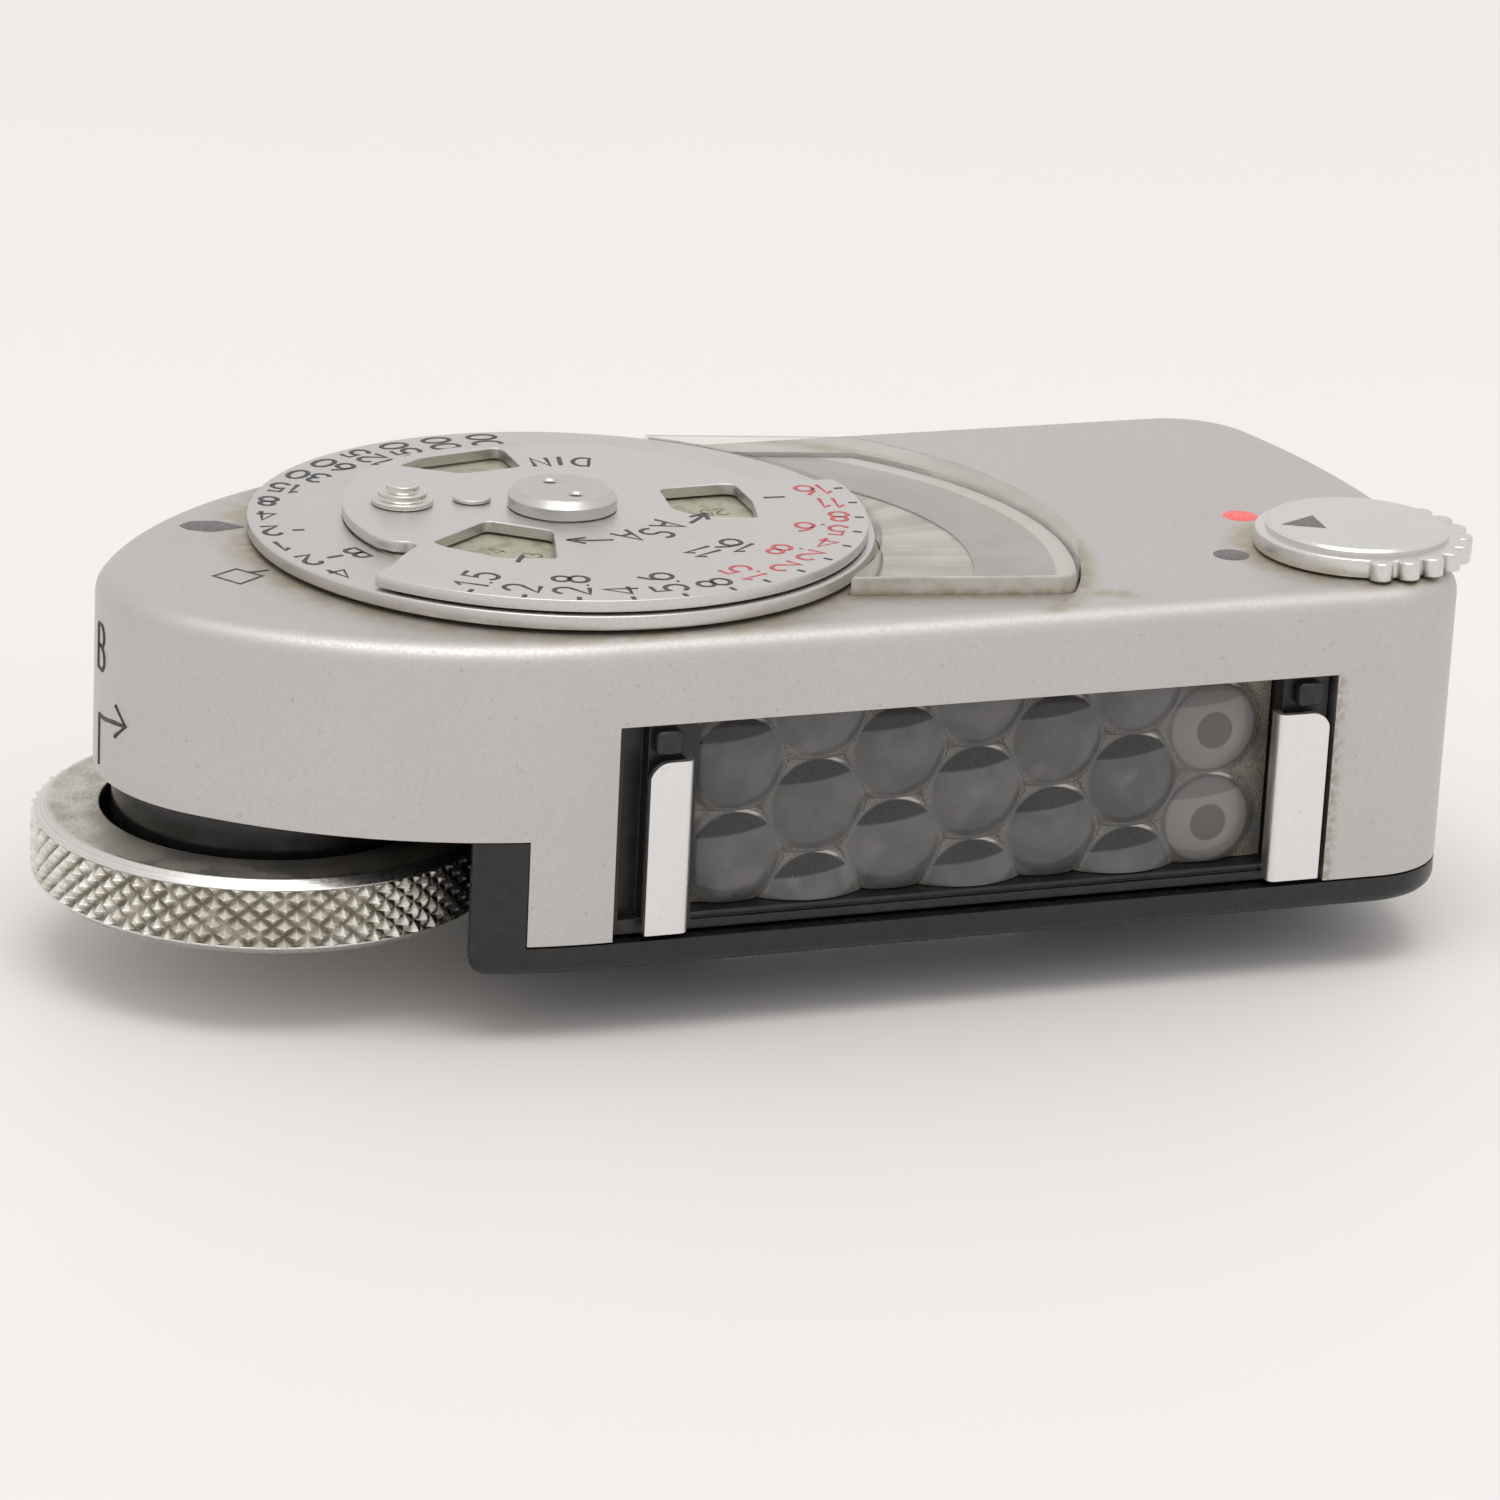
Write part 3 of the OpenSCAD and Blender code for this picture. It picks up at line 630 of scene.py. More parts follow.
def casing_finish():
    """Satin chrome, with dirt on the top face round the dial, lever and window, and dust
    beside the cell."""
    f = satin("satin_chrome", (0.61, 0.585, 0.573), (0.54, 0.515, 0.503), 0.5)
    beside_dial = f.remap(f.x, DIAL[0] + 9, DIAL[0] + 12)
    sill = f.math("ADD", f.times(f.math("SUBTRACT", f.x, DIAL[0] + 9.4), -0.184), DIAL[1] - 11.93)
    dirt = f.remap(f.distance(DIAL), DISC_R + 2.6, DISC_R + 0.1)
    for other in (
        f.remap(f.distance(LEVER), 7.4, 5.6),
        f.times(f.remap(f.gap(f.distance(WINDOW_ROUND), ROUND_R + 0.04), 1.3, 0.1), beside_dial),
        f.times(f.remap(f.gap(f.y, sill), 1.2, 0.05), beside_dial, f.remap(f.x, 11.5, 9.5)),
    ):
        dirt = f.math("MAXIMUM", dirt, other)
    on_top = f.remap(f.z, TOP - 0.25, TOP - 0.02)
    f.over(f.times(dirt, f.patches(0.9, 4, 0.3, 0.62, 0.25, 1), on_top, 0.75), (0.40, 0.35, 0.24), 0.6)
    beside_cell = f.times(
        f.remap(f.gap(f.x, high("cell_frame", 0) + 0.3), 0.7, 0.0),
        f.remap(f.y, FRONT + 0.5, FRONT),
        f.remap(f.z, 16.6, 15.8),
    )
    f.over(f.times(beside_cell, f.patches(2.5, 3, 0.4, 0.6, 0.1, 0.6)), DUST, 0.7)
    return f


def dial_finish(name, tone=1.0):
    light = tuple(c * tone for c in (0.64, 0.618, 0.605))
    dark = tuple(c * tone for c in (0.56, 0.54, 0.53))
    return satin(name, light, dark, 0.36, 9.0, 0.004)


def knurl_finish():
    """Bright chrome with dirt in the valleys."""
    f = Finish("knurled_chrome", (0.78, 0.76, 0.72), 0.2, 1.0)
    f.shades((0.86, 0.84, 0.80), (0.62, 0.59, 0.52), 1.1, 0.7)
    deep = f.remap(f.distance(WHEEL), WHEEL_R - 0.17, WHEEL_R - 0.40)
    f.set("Roughness", f.patches(5, 3, 0.3, 0.7, 0.1, 0.26))
    f.over(f.times(deep, f.patches(1.2, 3, 0.3, 0.6, 0.35, 1), 0.7), (0.20, 0.18, 0.13))
    f.bump(f.noise(9, 3), 0.01)
    return f


def wheel_top_finish():
    """Turned steel, dusty on the flat of the rim."""
    f = turned("dusty_turned_steel", (0.74, 0.725, 0.70), (0.62, 0.605, 0.58), 0.3, WHEEL)
    face = f.times(f.remap(f.z, 7.9, 8.0), f.remap(f.distance(WHEEL), WHEEL_R - 0.6, WHEEL_R - 1.1))
    dust = f.times(f.patches(0.45, 4, 0.3, 0.62, 0.3, 1), f.patches(7, 3, 0.35, 0.62, 0.5, 1), 0.75)
    f.over(f.times(face, dust), (0.34, 0.29, 0.20), 0.75)
    return f


def lens_finish():
    """Clear moulding over the cell: grey domes with painted light and shade (a dark crescent in each, a
    bright line above it, a pale ring round a dark spot in the end column), dust along the borders.
    The mesh gives each point its place in its dome, and whether that is in the end column."""
    f = Finish("lens_over_cell", (0.105, 0.102, 0.10), 0.16, IOR=1.49)
    u, v, ring = f.split(f.add("ShaderNodeAttribute", attribute_name="cell").outputs["Vector"])
    radius = f.length(u, v)
    f.blend(f.patches(0.5, 3, 0.35, 0.65), (0.115, 0.112, 0.110), (0.088, 0.086, 0.085))
    # light haze inside some domes
    f.over(f.patches(0.32, 2, 0.58, 0.7, 0, 0.35), (0.20, 0.195, 0.19))
    # painted highlight and painted shade in the end column: a pale ring round a dark spot in each dome
    f.over(f.times(ring, f.remap(radius, 0.86, 0.78, 0, 0.9)), (0.215, 0.205, 0.20))
    spot = f.length(f.math("ADD", u, 0.05), v)
    f.over(f.times(ring, f.remap(spot, 0.37, 0.33)), (0.105, 0.098, 0.096))
    # pale lines where the domes meet
    f.over(f.remap(radius, 0.82, 0.9, 0, 0.35), (0.22, 0.21, 0.20))
    # painted shade: a dark crescent in the upper part of each dome, fainter in the end column
    chord = f.math("SUBTRACT", v, f.times(u, 0.12))
    crescent = f.times(f.remap(chord, 0.48, 0.53), f.remap(radius, 0.88, 0.84),
                       f.math("SUBTRACT", 1.0, f.times(ring, 0.6)))
    f.over(f.times(crescent, f.patches(6.5, 4, 0.2, 0.7, 1.0, 0.8)), (0.018, 0.017, 0.017))
    # painted highlight: a bright line above the crescent
    glint = f.times(f.remap(f.gap(radius, 0.885), 0.04, 0.01), f.remap(v, 0.72, 0.8), f.remap(u, -0.05, 0.1))
    f.over(f.times(glint, 0.8), (0.55, 0.53, 0.49))
    # dust in the grooves, and pale specks
    dust = f.times(f.remap(radius, 0.86, 0.98), f.patches(0.8, 3, 0.35, 0.6, 0.1, 1),
                   f.patches(9, 3, 0.42, 0.6), 0.75)
    f.over(dust, (0.30, 0.25, 0.16), 0.8)
    f.over(f.times(f.specks(1.3, 0.035, 0.015), 0.8), PALE_SPECK, 0.8)
    f.bump(f.noise(3, 3), 0.003)
    return f


def clear_finish():
    """Thin clear plastic: see-through, with a faint haze and a glossy skin that grows at a slant."""
    f = Finish("clear_cover", (0.86, 0.84, 0.80), 0.05)
    f.shades((0.80, 0.785, 0.76), (0.70, 0.67, 0.61), 0.5, 0.5)
    f.bump(f.noise(0.5, 2), 0.003)
    slant = f.times(f.add("ShaderNodeFresnel").outputs[0], 0.55)
    f.see_through(f.math("ADD", slant, f.patches(0.3, 3, 0.4, 0.7, 0.05, 0.11)), (0.965, 0.96, 0.94))
    return f


def cover_edge_finish():
    """The cover's standing edge: dull, with brown dirt along its foot."""
    f = Finish("clear_cover_edge", (0.46, 0.44, 0.40), 0.22)
    f.shades((0.50, 0.475, 0.44), (0.36, 0.335, 0.29), 0.7, 0.8)
    foot = f.times(f.remap(f.z, TOP + 0.45, TOP), f.patches(1.5, 4, 0.35, 0.6, 0.3, 1), 0.8)
    f.over(foot, (0.30, 0.24, 0.14), 0.7)
    f.bump(f.noise(5, 2), 0.003)
    return f


def mask_finish():
    """Grey band behind the cover's round side, with a painted highlight as a pale rim outside it."""
    f = Finish("window_mask", (0.40, 0.37, 0.37), 0.4)
    f.shades((0.40, 0.365, 0.365), (0.375, 0.345, 0.345), 0.4)
    # painted highlight: a pale rim along the cover's round side
    f.over(f.remap(f.distance(WINDOW_ROUND), BAND_R + 4.1, BAND_R + 4.3), (0.60, 0.57, 0.555))
    f.bump(f.noise(6, 2), 0.002)
    return f


def painted_light_lining_finish():
    """Painted light on the scale below: a pale sheet under the clear cover, partly see-through, with
    see-through lanes that fan out from the pivot.
    """
    f = Finish("window_painted_light_lining", (0.66, 0.635, 0.60), 0.45)
    f.shades((0.68, 0.655, 0.62), (0.58, 0.55, 0.51), 0.4)
    f.bump(f.noise(6, 2), 0.002)
    f.see_through(f.remap(f.noise(0.11, 2, f.along(f.angle(PIVOT))), 0.4, 0.6, 0.9, 0.62))
    return f


def card_finish():
    """Scale card: pale lanes that fan out from the needle's pivot."""
    f = Finish("scale_card", (0.90, 0.885, 0.86), 0.5)
    lanes = f.noise(0.16, 1, f.along(f.angle(PIVOT)))
    f.blend(f.remap(lanes, 0.42, 0.58), (0.93, 0.91, 0.885), (0.74, 0.71, 0.68))
    f.over(f.patches(0.5, 3, 0.5, 0.8, 0, 0.3), (0.66, 0.62, 0.55))
    f.bump(f.noise(4, 2), 0.003)
    return f


def film_disc_finish():
    """Yellowed disc with short dark marks round it."""
    f = Finish("film_scale", (0.42, 0.40, 0.31), 0.5, 0.2)
    lines = f.noise(9, 1, f.along(f.times(f.angle(DIAL), 0.35)))
    f.blend(f.remap(lines, 0.42, 0.58), (0.50, 0.48, 0.38), (0.34, 0.33, 0.25))
    f.over(f.patches(1.1, 3, 0.45, 0.7, 0, 0.6), (0.22, 0.20, 0.13))
    f.bump(f.noise(6, 2), 0.004)
    return f


FINISHES = {
    # for the casing, the base and the parts that show; the first ones are named after CAD slots
    "satin_casing": casing_finish(),
    "black_base": black_plastic("black_moulding", 0.2),
    "black_frame": black_plastic("cell_frame_black", 1.0, 0.36),
    "clear_lens": lens_finish(),
    "rail_metal": satin("rail_nickel", (0.82, 0.815, 0.81), (0.74, 0.735, 0.73), 0.34, 9, 0.003),
    "wheel_chrome": knurl_finish(),
    "shutter_scale": dial_finish("shutter_scale_satin"),
    "aperture_scale": dial_finish("aperture_scale_satin", 1.04),
    "film_scale": film_disc_finish(),
    "clear_window": clear_finish(),
    "card_white": card_finish(),
    "lever_metal": satin("lever_satin", (0.74, 0.725, 0.70), (0.64, 0.625, 0.60), 0.33, 8, 0.004),
    "boss": black_plastic("black_boss", 0.15, 0.16),
    "wheel_top": wheel_top_finish(),
    "cover_edge": cover_edge_finish(),
    "mask": mask_finish(),
    "painted_light_lining": painted_light_lining_finish(),
    "nut": turned("nut_turned", (0.62, 0.605, 0.595), (0.54, 0.525, 0.515), 0.38, DIAL),
    "stud": turned("stud_turned", (0.74, 0.73, 0.70), (0.56, 0.545, 0.50), 0.24, STUD),
    "black_ink": painted("black_fill", (0.022, 0.021, 0.022)),
    "red_ink": painted("red_fill", (0.42, 0.055, 0.06)),
    "grey_ink": painted("grey_fill", (0.10, 0.09, 0.09)),
    "red_dot": painted("red_dot", (0.78, 0.10, 0.085), 0.35),
    "olive_ink": painted("olive_fill", (0.12, 0.11, 0.07)),
    # for the CAD nodes inside and underneath
    "dark_steel": satin("dark_steel", (0.26, 0.25, 0.245), (0.17, 0.165, 0.16), 0.35),
    "foot_metal": satin("foot_nickel", (0.66, 0.645, 0.62), (0.56, 0.55, 0.525), 0.3, 6),
    "spring_steel": satin("spring_steel", (0.55, 0.555, 0.57), (0.42, 0.42, 0.44), 0.25),
    "bright_steel": satin("bright_steel", (0.76, 0.755, 0.745), (0.62, 0.615, 0.60), 0.25),
    "polished_steel": satin("polished_steel", (0.86, 0.85, 0.84), (0.74, 0.73, 0.715), 0.14, 5, 0.002),
    "selenium": satin("selenium_cell", (0.10, 0.10, 0.115), (0.06, 0.06, 0.07), 0.4, 8, 0.004, 0.4),
    "brass": satin("brass", (0.72, 0.52, 0.24), (0.52, 0.36, 0.15), 0.32),
    "plate_brass": satin("plate_brass", (0.66, 0.50, 0.26), (0.50, 0.36, 0.17), 0.38),
    "needle_black": painted("needle_black", (0.012, 0.012, 0.012), 0.4),
    "aluminium_former": satin("aluminium_former", (0.80, 0.79, 0.78), (0.68, 0.67, 0.66), 0.4),
    "copper_wire": satin("copper_wire", (0.72, 0.34, 0.18), (0.48, 0.20, 0.09), 0.35),
    "magnet_dark": satin("magnet_dark", (0.20, 0.20, 0.21), (0.12, 0.12, 0.13), 0.45),
    "ruby": painted("ruby", (0.42, 0.01, 0.03), 0.12),
    "phenolic": painted("phenolic", (0.20, 0.085, 0.03), 0.5),
    "resistor_body": painted("resistor_body", (0.24, 0.13, 0.06), 0.5),
}
MATERIALS = {name: finish.material for name, finish in FINISHES.items()}
for part in frame["record"]["subparts"]:
    node = NODES[part["node"]]
    node.data.materials.clear()
    node.data.materials.append(MATERIALS[part["material_slot"]])


# ---------- drawn figures ----------

def bow(cx, cy, rx, ry, a0, a1, n=12):
    """Points on part of an ellipse."""
    turn = [math.radians(a0 + (a1 - a0) * i / n) for i in range(n + 1)]
    return [(cx + rx * math.cos(a), cy + ry * math.sin(a)) for a in turn]


# Each figure is its width and its strokes, in a box one high
FIGURES = {
    "0": (0.60, [bow(0.30, 0.5, 0.30, 0.5, 0, 360, 24)]),
    "1": (0.26, [[(0, 0.76), (0.20, 1), (0.20, 0)]]),
    "2": (0.58, [bow(0.29, 0.70, 0.28, 0.30, 165, -38) + [(0, 0), (0.58, 0)]]),
    "3": (0.56, [bow(0.26, 0.74, 0.25, 0.26, 150, -80) + bow(0.27, 0.27, 0.29, 0.27, 80, -155)]),
    "4": (0.62, [[(0.46, 0), (0.46, 1), (0, 0.27), (0.62, 0.27)]]),
    "5": (0.56, [[(0.52, 1), (0.10, 1), (0.06, 0.56)] + bow(0.26, 0.32, 0.30, 0.32, 125, -150)]),
    "6": (0.58, [bow(0.29, 0.30, 0.29, 0.30, 0, 360, 22), [(0.02, 0.38), (0.12, 0.70), (0.40, 1)]]),
    "8": (0.58, [bow(0.29, 0.76, 0.24, 0.24, 0, 360, 22), bow(0.29, 0.27, 0.29, 0.27, 0, 360, 22)]),
    ".": (0.10, [[(0.05, 0.0), (0.05, 0.07)]]),
    "A": (0.62, [[(0, 0), (0.31, 1), (0.62, 0)], [(0.12, 0.35), (0.50, 0.35)]]),
    "B": (0.52, [[(0, 0), (0, 1), (0.26, 1)] + bow(0.26, 0.76, 0.22, 0.24, 90, -90)
                 + [(0, 0.52), (0.26, 0.52)] + bow(0.26, 0.26, 0.26, 0.26, 90, -90) + [(0, 0)]]),
    "D": (0.58, [[(0, 0), (0, 1), (0.22, 1)] + bow(0.22, 0.5, 0.36, 0.5, 90, -90) + [(0, 0)]]),
    "I": (0.10, [[(0.05, 0), (0.05, 1)]]),
    "N": (0.56, [[(0, 0), (0, 1), (0.56, 0), (0.56, 1)]]),
    "S": (0.54, [bow(0.27, 0.75, 0.26, 0.25, 40, 270) + bow(0.27, 0.26, 0.27, 0.26, 90, -145)]),
}


def wording(text, height, gap=0.2):
    """Strokes of a row of figures from x = 0, and the row's width."""
    lines, x = [], 0.0
    for figure in text:
        width, strokes = FIGURES[figure]
        lines += [[((x + px) * height, py * height) for px, py in s] for s in strokes]
        x += width + gap
    return lines, (x - gap) * height


def moved(lines, at, angle, shift=(0, 0)):
    """Strokes shifted, turned by angle in degrees, then carried to a point."""
    c, s = math.cos(math.radians(angle)), math.sin(math.radians(angle))
    out = []
    for line in lines:
        pts = [(x + shift[0], y + shift[1]) for x, y in line]
        out.append([(at[0] + c * x - s * y, at[1] + s * x + c * y) for x, y in pts])
    return out


def stroked(name, lines, width, close=True):
    """Round strokes through points in space. With close, a line that ends where it starts is joined
    there."""
    curve = bpy.data.curves.new(name, "CURVE")
    curve.dimensions = "3D"
    curve.bevel_depth = width / 2 * MM
    curve.bevel_resolution = 1
    curve.use_fill_caps = True
    for line in lines:
        closed = close and math.dist(line[0], line[-1]) < 1e-6
        points = line[:-1] if closed else line
        spline = curve.splines.new("POLY")
        spline.points.add(len(points) - 1)
        for p, point in zip(spline.points, points):
            p.co = (*[c * MM for c in point], 1)
        spline.use_cyclic_u = closed
    path = link(name + "_path", curve)
    mesh = settled(path)
    bpy.data.objects.remove(path)
    return link(name, mesh)


def ink(name, lines, z, width, material, body):
    """Painted strokes lying on a level face."""
    obj = stroked(name, [[(x, y, 0) for x, y in line] for line in lines], width)
    for v in obj.data.vertices:
        v.co.z = z * MM + v.co.z * 2 * PAINT / width
    for p in obj.data.polygons:
        p.use_smooth = True
    place(obj, material, body)


def decal(name, loop, z, material, body):
    """A painted or filled area on a level face."""
    obj = loft(name, [loop], [(0, z - 0.05), (0, z), (0.05, z + PAINT)])
    place(polish(obj), material, body)


# ---------- casing and base ----------

def make_casing():
    """A sheet shell, open underneath, with openings for the cell, window, dial and lever."""
    plan = casing_plan()
    step, flat, n = inward(plan), np.array(plan), len(plan)
    outer = edge_levels(SKIRT, TOP, 0, EDGE, 8)
    inner = [(WALL, SKIRT), (WALL, TOP - 1.7), (WALL + 0.2, TOP - 1.2), (WALL + 0.7, TOP - WALL)]
    verts, rings = [], []
    for inset, z in outer + inner:
        rings.append(len(verts))
        verts += [(x, y, z) for x, y in flat + step * inset]
    k = len(outer)
    pairs = [*zip(rings[:k], rings[1:k]), *zip(rings[k:], rings[k + 1:]), (rings[0], rings[k])]
    faces = [f for a, b in pairs for f in band(a, b, n)]
    faces += [tuple(range(first, first + n)) for first in (rings[k - 1], rings[-1])]
    obj = new_object("casing_shell", verts, faces)
    x0, x1 = low("cell_frame", 0) - 0.2, high("cell_frame", 0) + 0.2
    cut(
        obj,
        box("cut_end", -60, TAB_X, -30, 30, 0, STEP_Z),
        box("cut_cell", x0, x1, -30, FRONT + 3, 0, high("cell_frame", 2) + 0.1),
        prism("cut_window", window_plan(0.1), TOP - 3, TOP + 1),
        prism("cut_dial", circle(DIAL, 3.05), TOP - 3, TOP + 1),
        prism("cut_lever", circle(LEVER, 1.55), TOP - 3, TOP + 1),
    )
    place(polish(obj, 0.09, 38), MATERIALS["satin_casing"], "housing", ["top_casing"])


def make_base():
    """The deep moulding, and the blocks, wall, shelf and boss round the wheel."""
    def moulded(piece, material="black_base", replaces=()):
        place(piece, MATERIALS[material], "housing", replaces)

    plan = soften_corner(deep_plan(), STEP_CORNER, 1.2)
    floor = loft("base_moulding", [plan], edge_levels(BASE, SKIRT - 0.1, 0.7, 0, 5))
    cuts = [prism(f"screw_hole_{i}", circle(p, 1.7), BASE - 1, BASE + 0.9) for i, p in enumerate(SCREWS)]
    cuts.append(prism("zero_screw_hole", circle(centre("zero_screw"), 1.4), BASE - 1, BASE + 3))
    cut(floor, *cuts)
    moulded(polish(floor, 0.05, 50), replaces=["base_housing"])
    front = soften_corner(block_plan(TAB_X - 0.05), STEP_CORNER, 0.6)
    wall = tidy(arc(WHEEL, POCKET_R + 1.1, -50, 56) + arc(WHEEL, POCKET_R, 56, -50))
    for name, loop, top in (
        ("base_block_front", front, STEP_Z - 0.06),
        ("base_block_back", block_plan(TAB_X - 0.05, True), STEP_Z - 0.06),
        ("base_pocket_wall", wall, STEP_Z + 1.1),
    ):
        moulded(polish(prism(name, loop, BASE + 1, top), 0.08, 50))
    # shelf over the wheel: the round end of the casing's plan, a little inside its wall
    end = [p for p in casing_plan() if p[0] < -18.6]
    first = end.index(max((p for p in end if p[1] > 0), key=lambda p: p[0]))
    inset = WALL + 0.08
    levels = [(inset, STEP_Z + 0.1), (inset, STEP_Z + 1.1)]
    shelf = loft("base_shelf", [tidy(end[first:] + end[:first])], levels)
    spindle_r = high("wheel_spindle", 0) - WHEEL[0]
    cut(shelf, prism("spindle_bore", circle(WHEEL, spindle_r + 0.15), STEP_Z - 1, STEP_Z + 3))
    moulded(polish(shelf, 0.05))
    bore, z0, z1 = 4.2, 7.1, STEP_Z + 0.1
    boss = lathe("base_boss", [(bore, z0), (BOSS_R, z0), (BOSS_R, z1), (bore, z1)], WHEEL, 128, 0.15)
    moulded(polish(boss), "boss")


# ---------- coupling wheel ----------

def make_wheel():
    """A knurled band of flat-topped diamonds over a turned body."""
    z0, z1 = BAND_Z
    rows, around = 6, 62     # half rows of the lattice, and diamonds round the band
    root = WHEEL_R - 0.45    # radius at the bottom of the grooves
    flat = 0.16              # share of a diamond that its flat top takes
    verts, faces, valley = [], [], {}

    def point(i, j, r):
        """A new point at lattice column i and row j."""
        verts.append((*about(WHEEL, r, 180 * i / around), z0 + (z1 - z0) * j / rows))
        return len(verts) - 1

    def crossing_point(i, j):
        """The point where two grooves cross, made once."""
        key = (i % (2 * around), j)
        if key not in valley:
            valley[key] = point(*key, root)
        return valley[key]

    for j in range(rows + 1):
        ways = [(1, 0), (0, 1), (-1, 0), (0, -1)]
        if j == 0:
            ways = ways[:3]
        if j == rows:
            ways = [(-1, 0), (0, -1), (1, 0)]
        n = len(ways)
        for i in range((j + 1) % 2, 2 * around, 2):
            outer = [crossing_point(i + di, j + dj) for di, dj in ways]
            top = [point(i + di * flat, j + dj * flat, WHEEL_R - 0.02) for di, dj in ways]
            faces += [(outer[k], outer[(k + 1) % n], top[(k + 1) % n], top[k]) for k in range(n)]
            faces.append(tuple(top))
    knurl = new_object("wheel_knurling", verts, faces, smooth=False)
    place(knurl, MATERIALS["wheel_chrome"], "wheel")
    profile = [
        (1, 5.0), (2.6, 5.0), (2.6, 4.3), (WHEEL_R - 0.6, 4.3), (WHEEL_R - 0.1, z0 - 0.08),
        (WHEEL_R - 0.12, z0), (root, z0 + 0.02), (root, z1 - 0.02), (WHEEL_R - 0.2, z1),
        (WHEEL_R - 0.22, z1 + 0.05), (WHEEL_R - 0.75, 8.15), (8.45, 8.15), (8.45, 5.25),
        (2.6, 5.25), (2.6, 6.4), (1, 6.4),
    ]
    wheel = lathe("wheel_body", profile, WHEEL, 240, 0.06)
    place(polish(wheel), MATERIALS["wheel_top"], "wheel", ["coupling_wheel"])


# ---------- light cell ----------

LENS_X = (-13.2, 18.2)
LENS_Z = (6.15, high("cell_frame", 2) - 0.05)
LENS_BACK = FRONT + 2.16


def make_bezel():
    """The black frame round the lens, with a slot on the left and a groove underneath."""
    x0, x1 = low("cell_frame", 0), high("cell_frame", 0)
    sill, top = low("cell_frame", 2), high("cell_frame", 2)
    left, right = LENS_X[0] - 0.1, LENS_X[1] + 0.1
    body = box("cell_bezel", x0, x1, FRONT + 0.6, FRONT + 3.2, sill, top)
    cut(
        body,
        box("cut_lens", left, right, FRONT - 1, FRONT + 2.2, 6.1, top + 1),
        box("cut_light", left + 1, right - 1, FRONT - 1, FRONT + 4, 6.8, 15.4),
        box("cut_slot", -17.1, -15.9, FRONT - 1, FRONT + 1.4, 6, top + 1),
        box("cut_groove", left, right, FRONT - 1, FRONT + 0.8, 5.7, 5.85),
    )
    place(polish(body, 0.08), MATERIALS["black_frame"], "housing", ["cell_frame"])


def make_lens():
    """A field of domes on a hexagonal lattice. The attribute named cell holds each point's place in
    its dome, and 1 in the last column."""
    columns, dome_r = 7, 4.4
    half = LENS_PITCH * 0.56
    column = LENS_PITCH * math.cos(math.radians(30))
    centres = [(-10.85 + i * column, 8.5 + LENS_PITCH * (j + 0.5 * (i % 2)), i)
               for i in range(columns) for j in range(-1, 3)]
    nx, nz = 264, 84
    gx, gz = np.meshgrid(np.linspace(*LENS_X, nx), np.linspace(*LENS_Z, nz), indexing="ij")
    best = np.full(gx.shape, 99.0)
    u, v, end = np.zeros_like(gx), np.zeros_like(gx), np.zeros_like(gx)
    for cx, cz, i in centres:
        d = np.hypot(gx - cx, gz - cz)
        near = d < best
        best = np.where(near, d, best)
        u, v = np.where(near, gx - cx, u), np.where(near, gz - cz, v)
        end = np.where(near, float(i == columns - 1), end)
    dome = dome_r - np.sqrt(dome_r ** 2 - np.minimum(best, half) ** 2)
    groove = np.clip((best / half - 0.97) / 0.08, 0, 1) * 0.1
    depth = FRONT + 0.75 + dome + groove
    verts = [(gx[i, k], depth[i, k], gz[i, k]) for i in range(nx) for k in range(nz)]
    faces = [(i * nz + k, (i + 1) * nz + k, (i + 1) * nz + k + 1, i * nz + k + 1)
             for i in range(nx - 1) for k in range(nz - 1)]
    rim = ([i * nz for i in range(nx)] + [(nx - 1) * nz + k for k in range(1, nz)]
           + [i * nz + nz - 1 for i in range(nx - 2, -1, -1)] + [k for k in range(nz - 2, 0, -1)])
    start, m = len(verts), len(rim)
    verts += [(verts[i][0], LENS_BACK, verts[i][2]) for i in rim]
    faces += [(rim[(a + 1) % m], rim[a], start + a, start + (a + 1) % m) for a in range(m)]
    faces.append(tuple(start + a for a in range(m)))
    mesh = bpy.data.meshes.new("cell_lens")
    mesh.from_pydata([[c * MM for c in p] for p in verts], [], faces)
    mesh.update()
    local = np.zeros((len(verts), 3), np.float32)
    for axis, values in enumerate((u / half, v / half, end)):
        local[:start, axis] = values.ravel()
    mesh.attributes.new("cell", "FLOAT_VECTOR", "POINT").data.foreach_set("vector", local.ravel())
    for p in mesh.polygons:
        p.use_smooth = True
    mesh.set_sharp_from_angle(angle=math.radians(50))
    place(link("cell_lens", mesh), MATERIALS["clear_lens"], "housing", ["honeycomb_lens"])


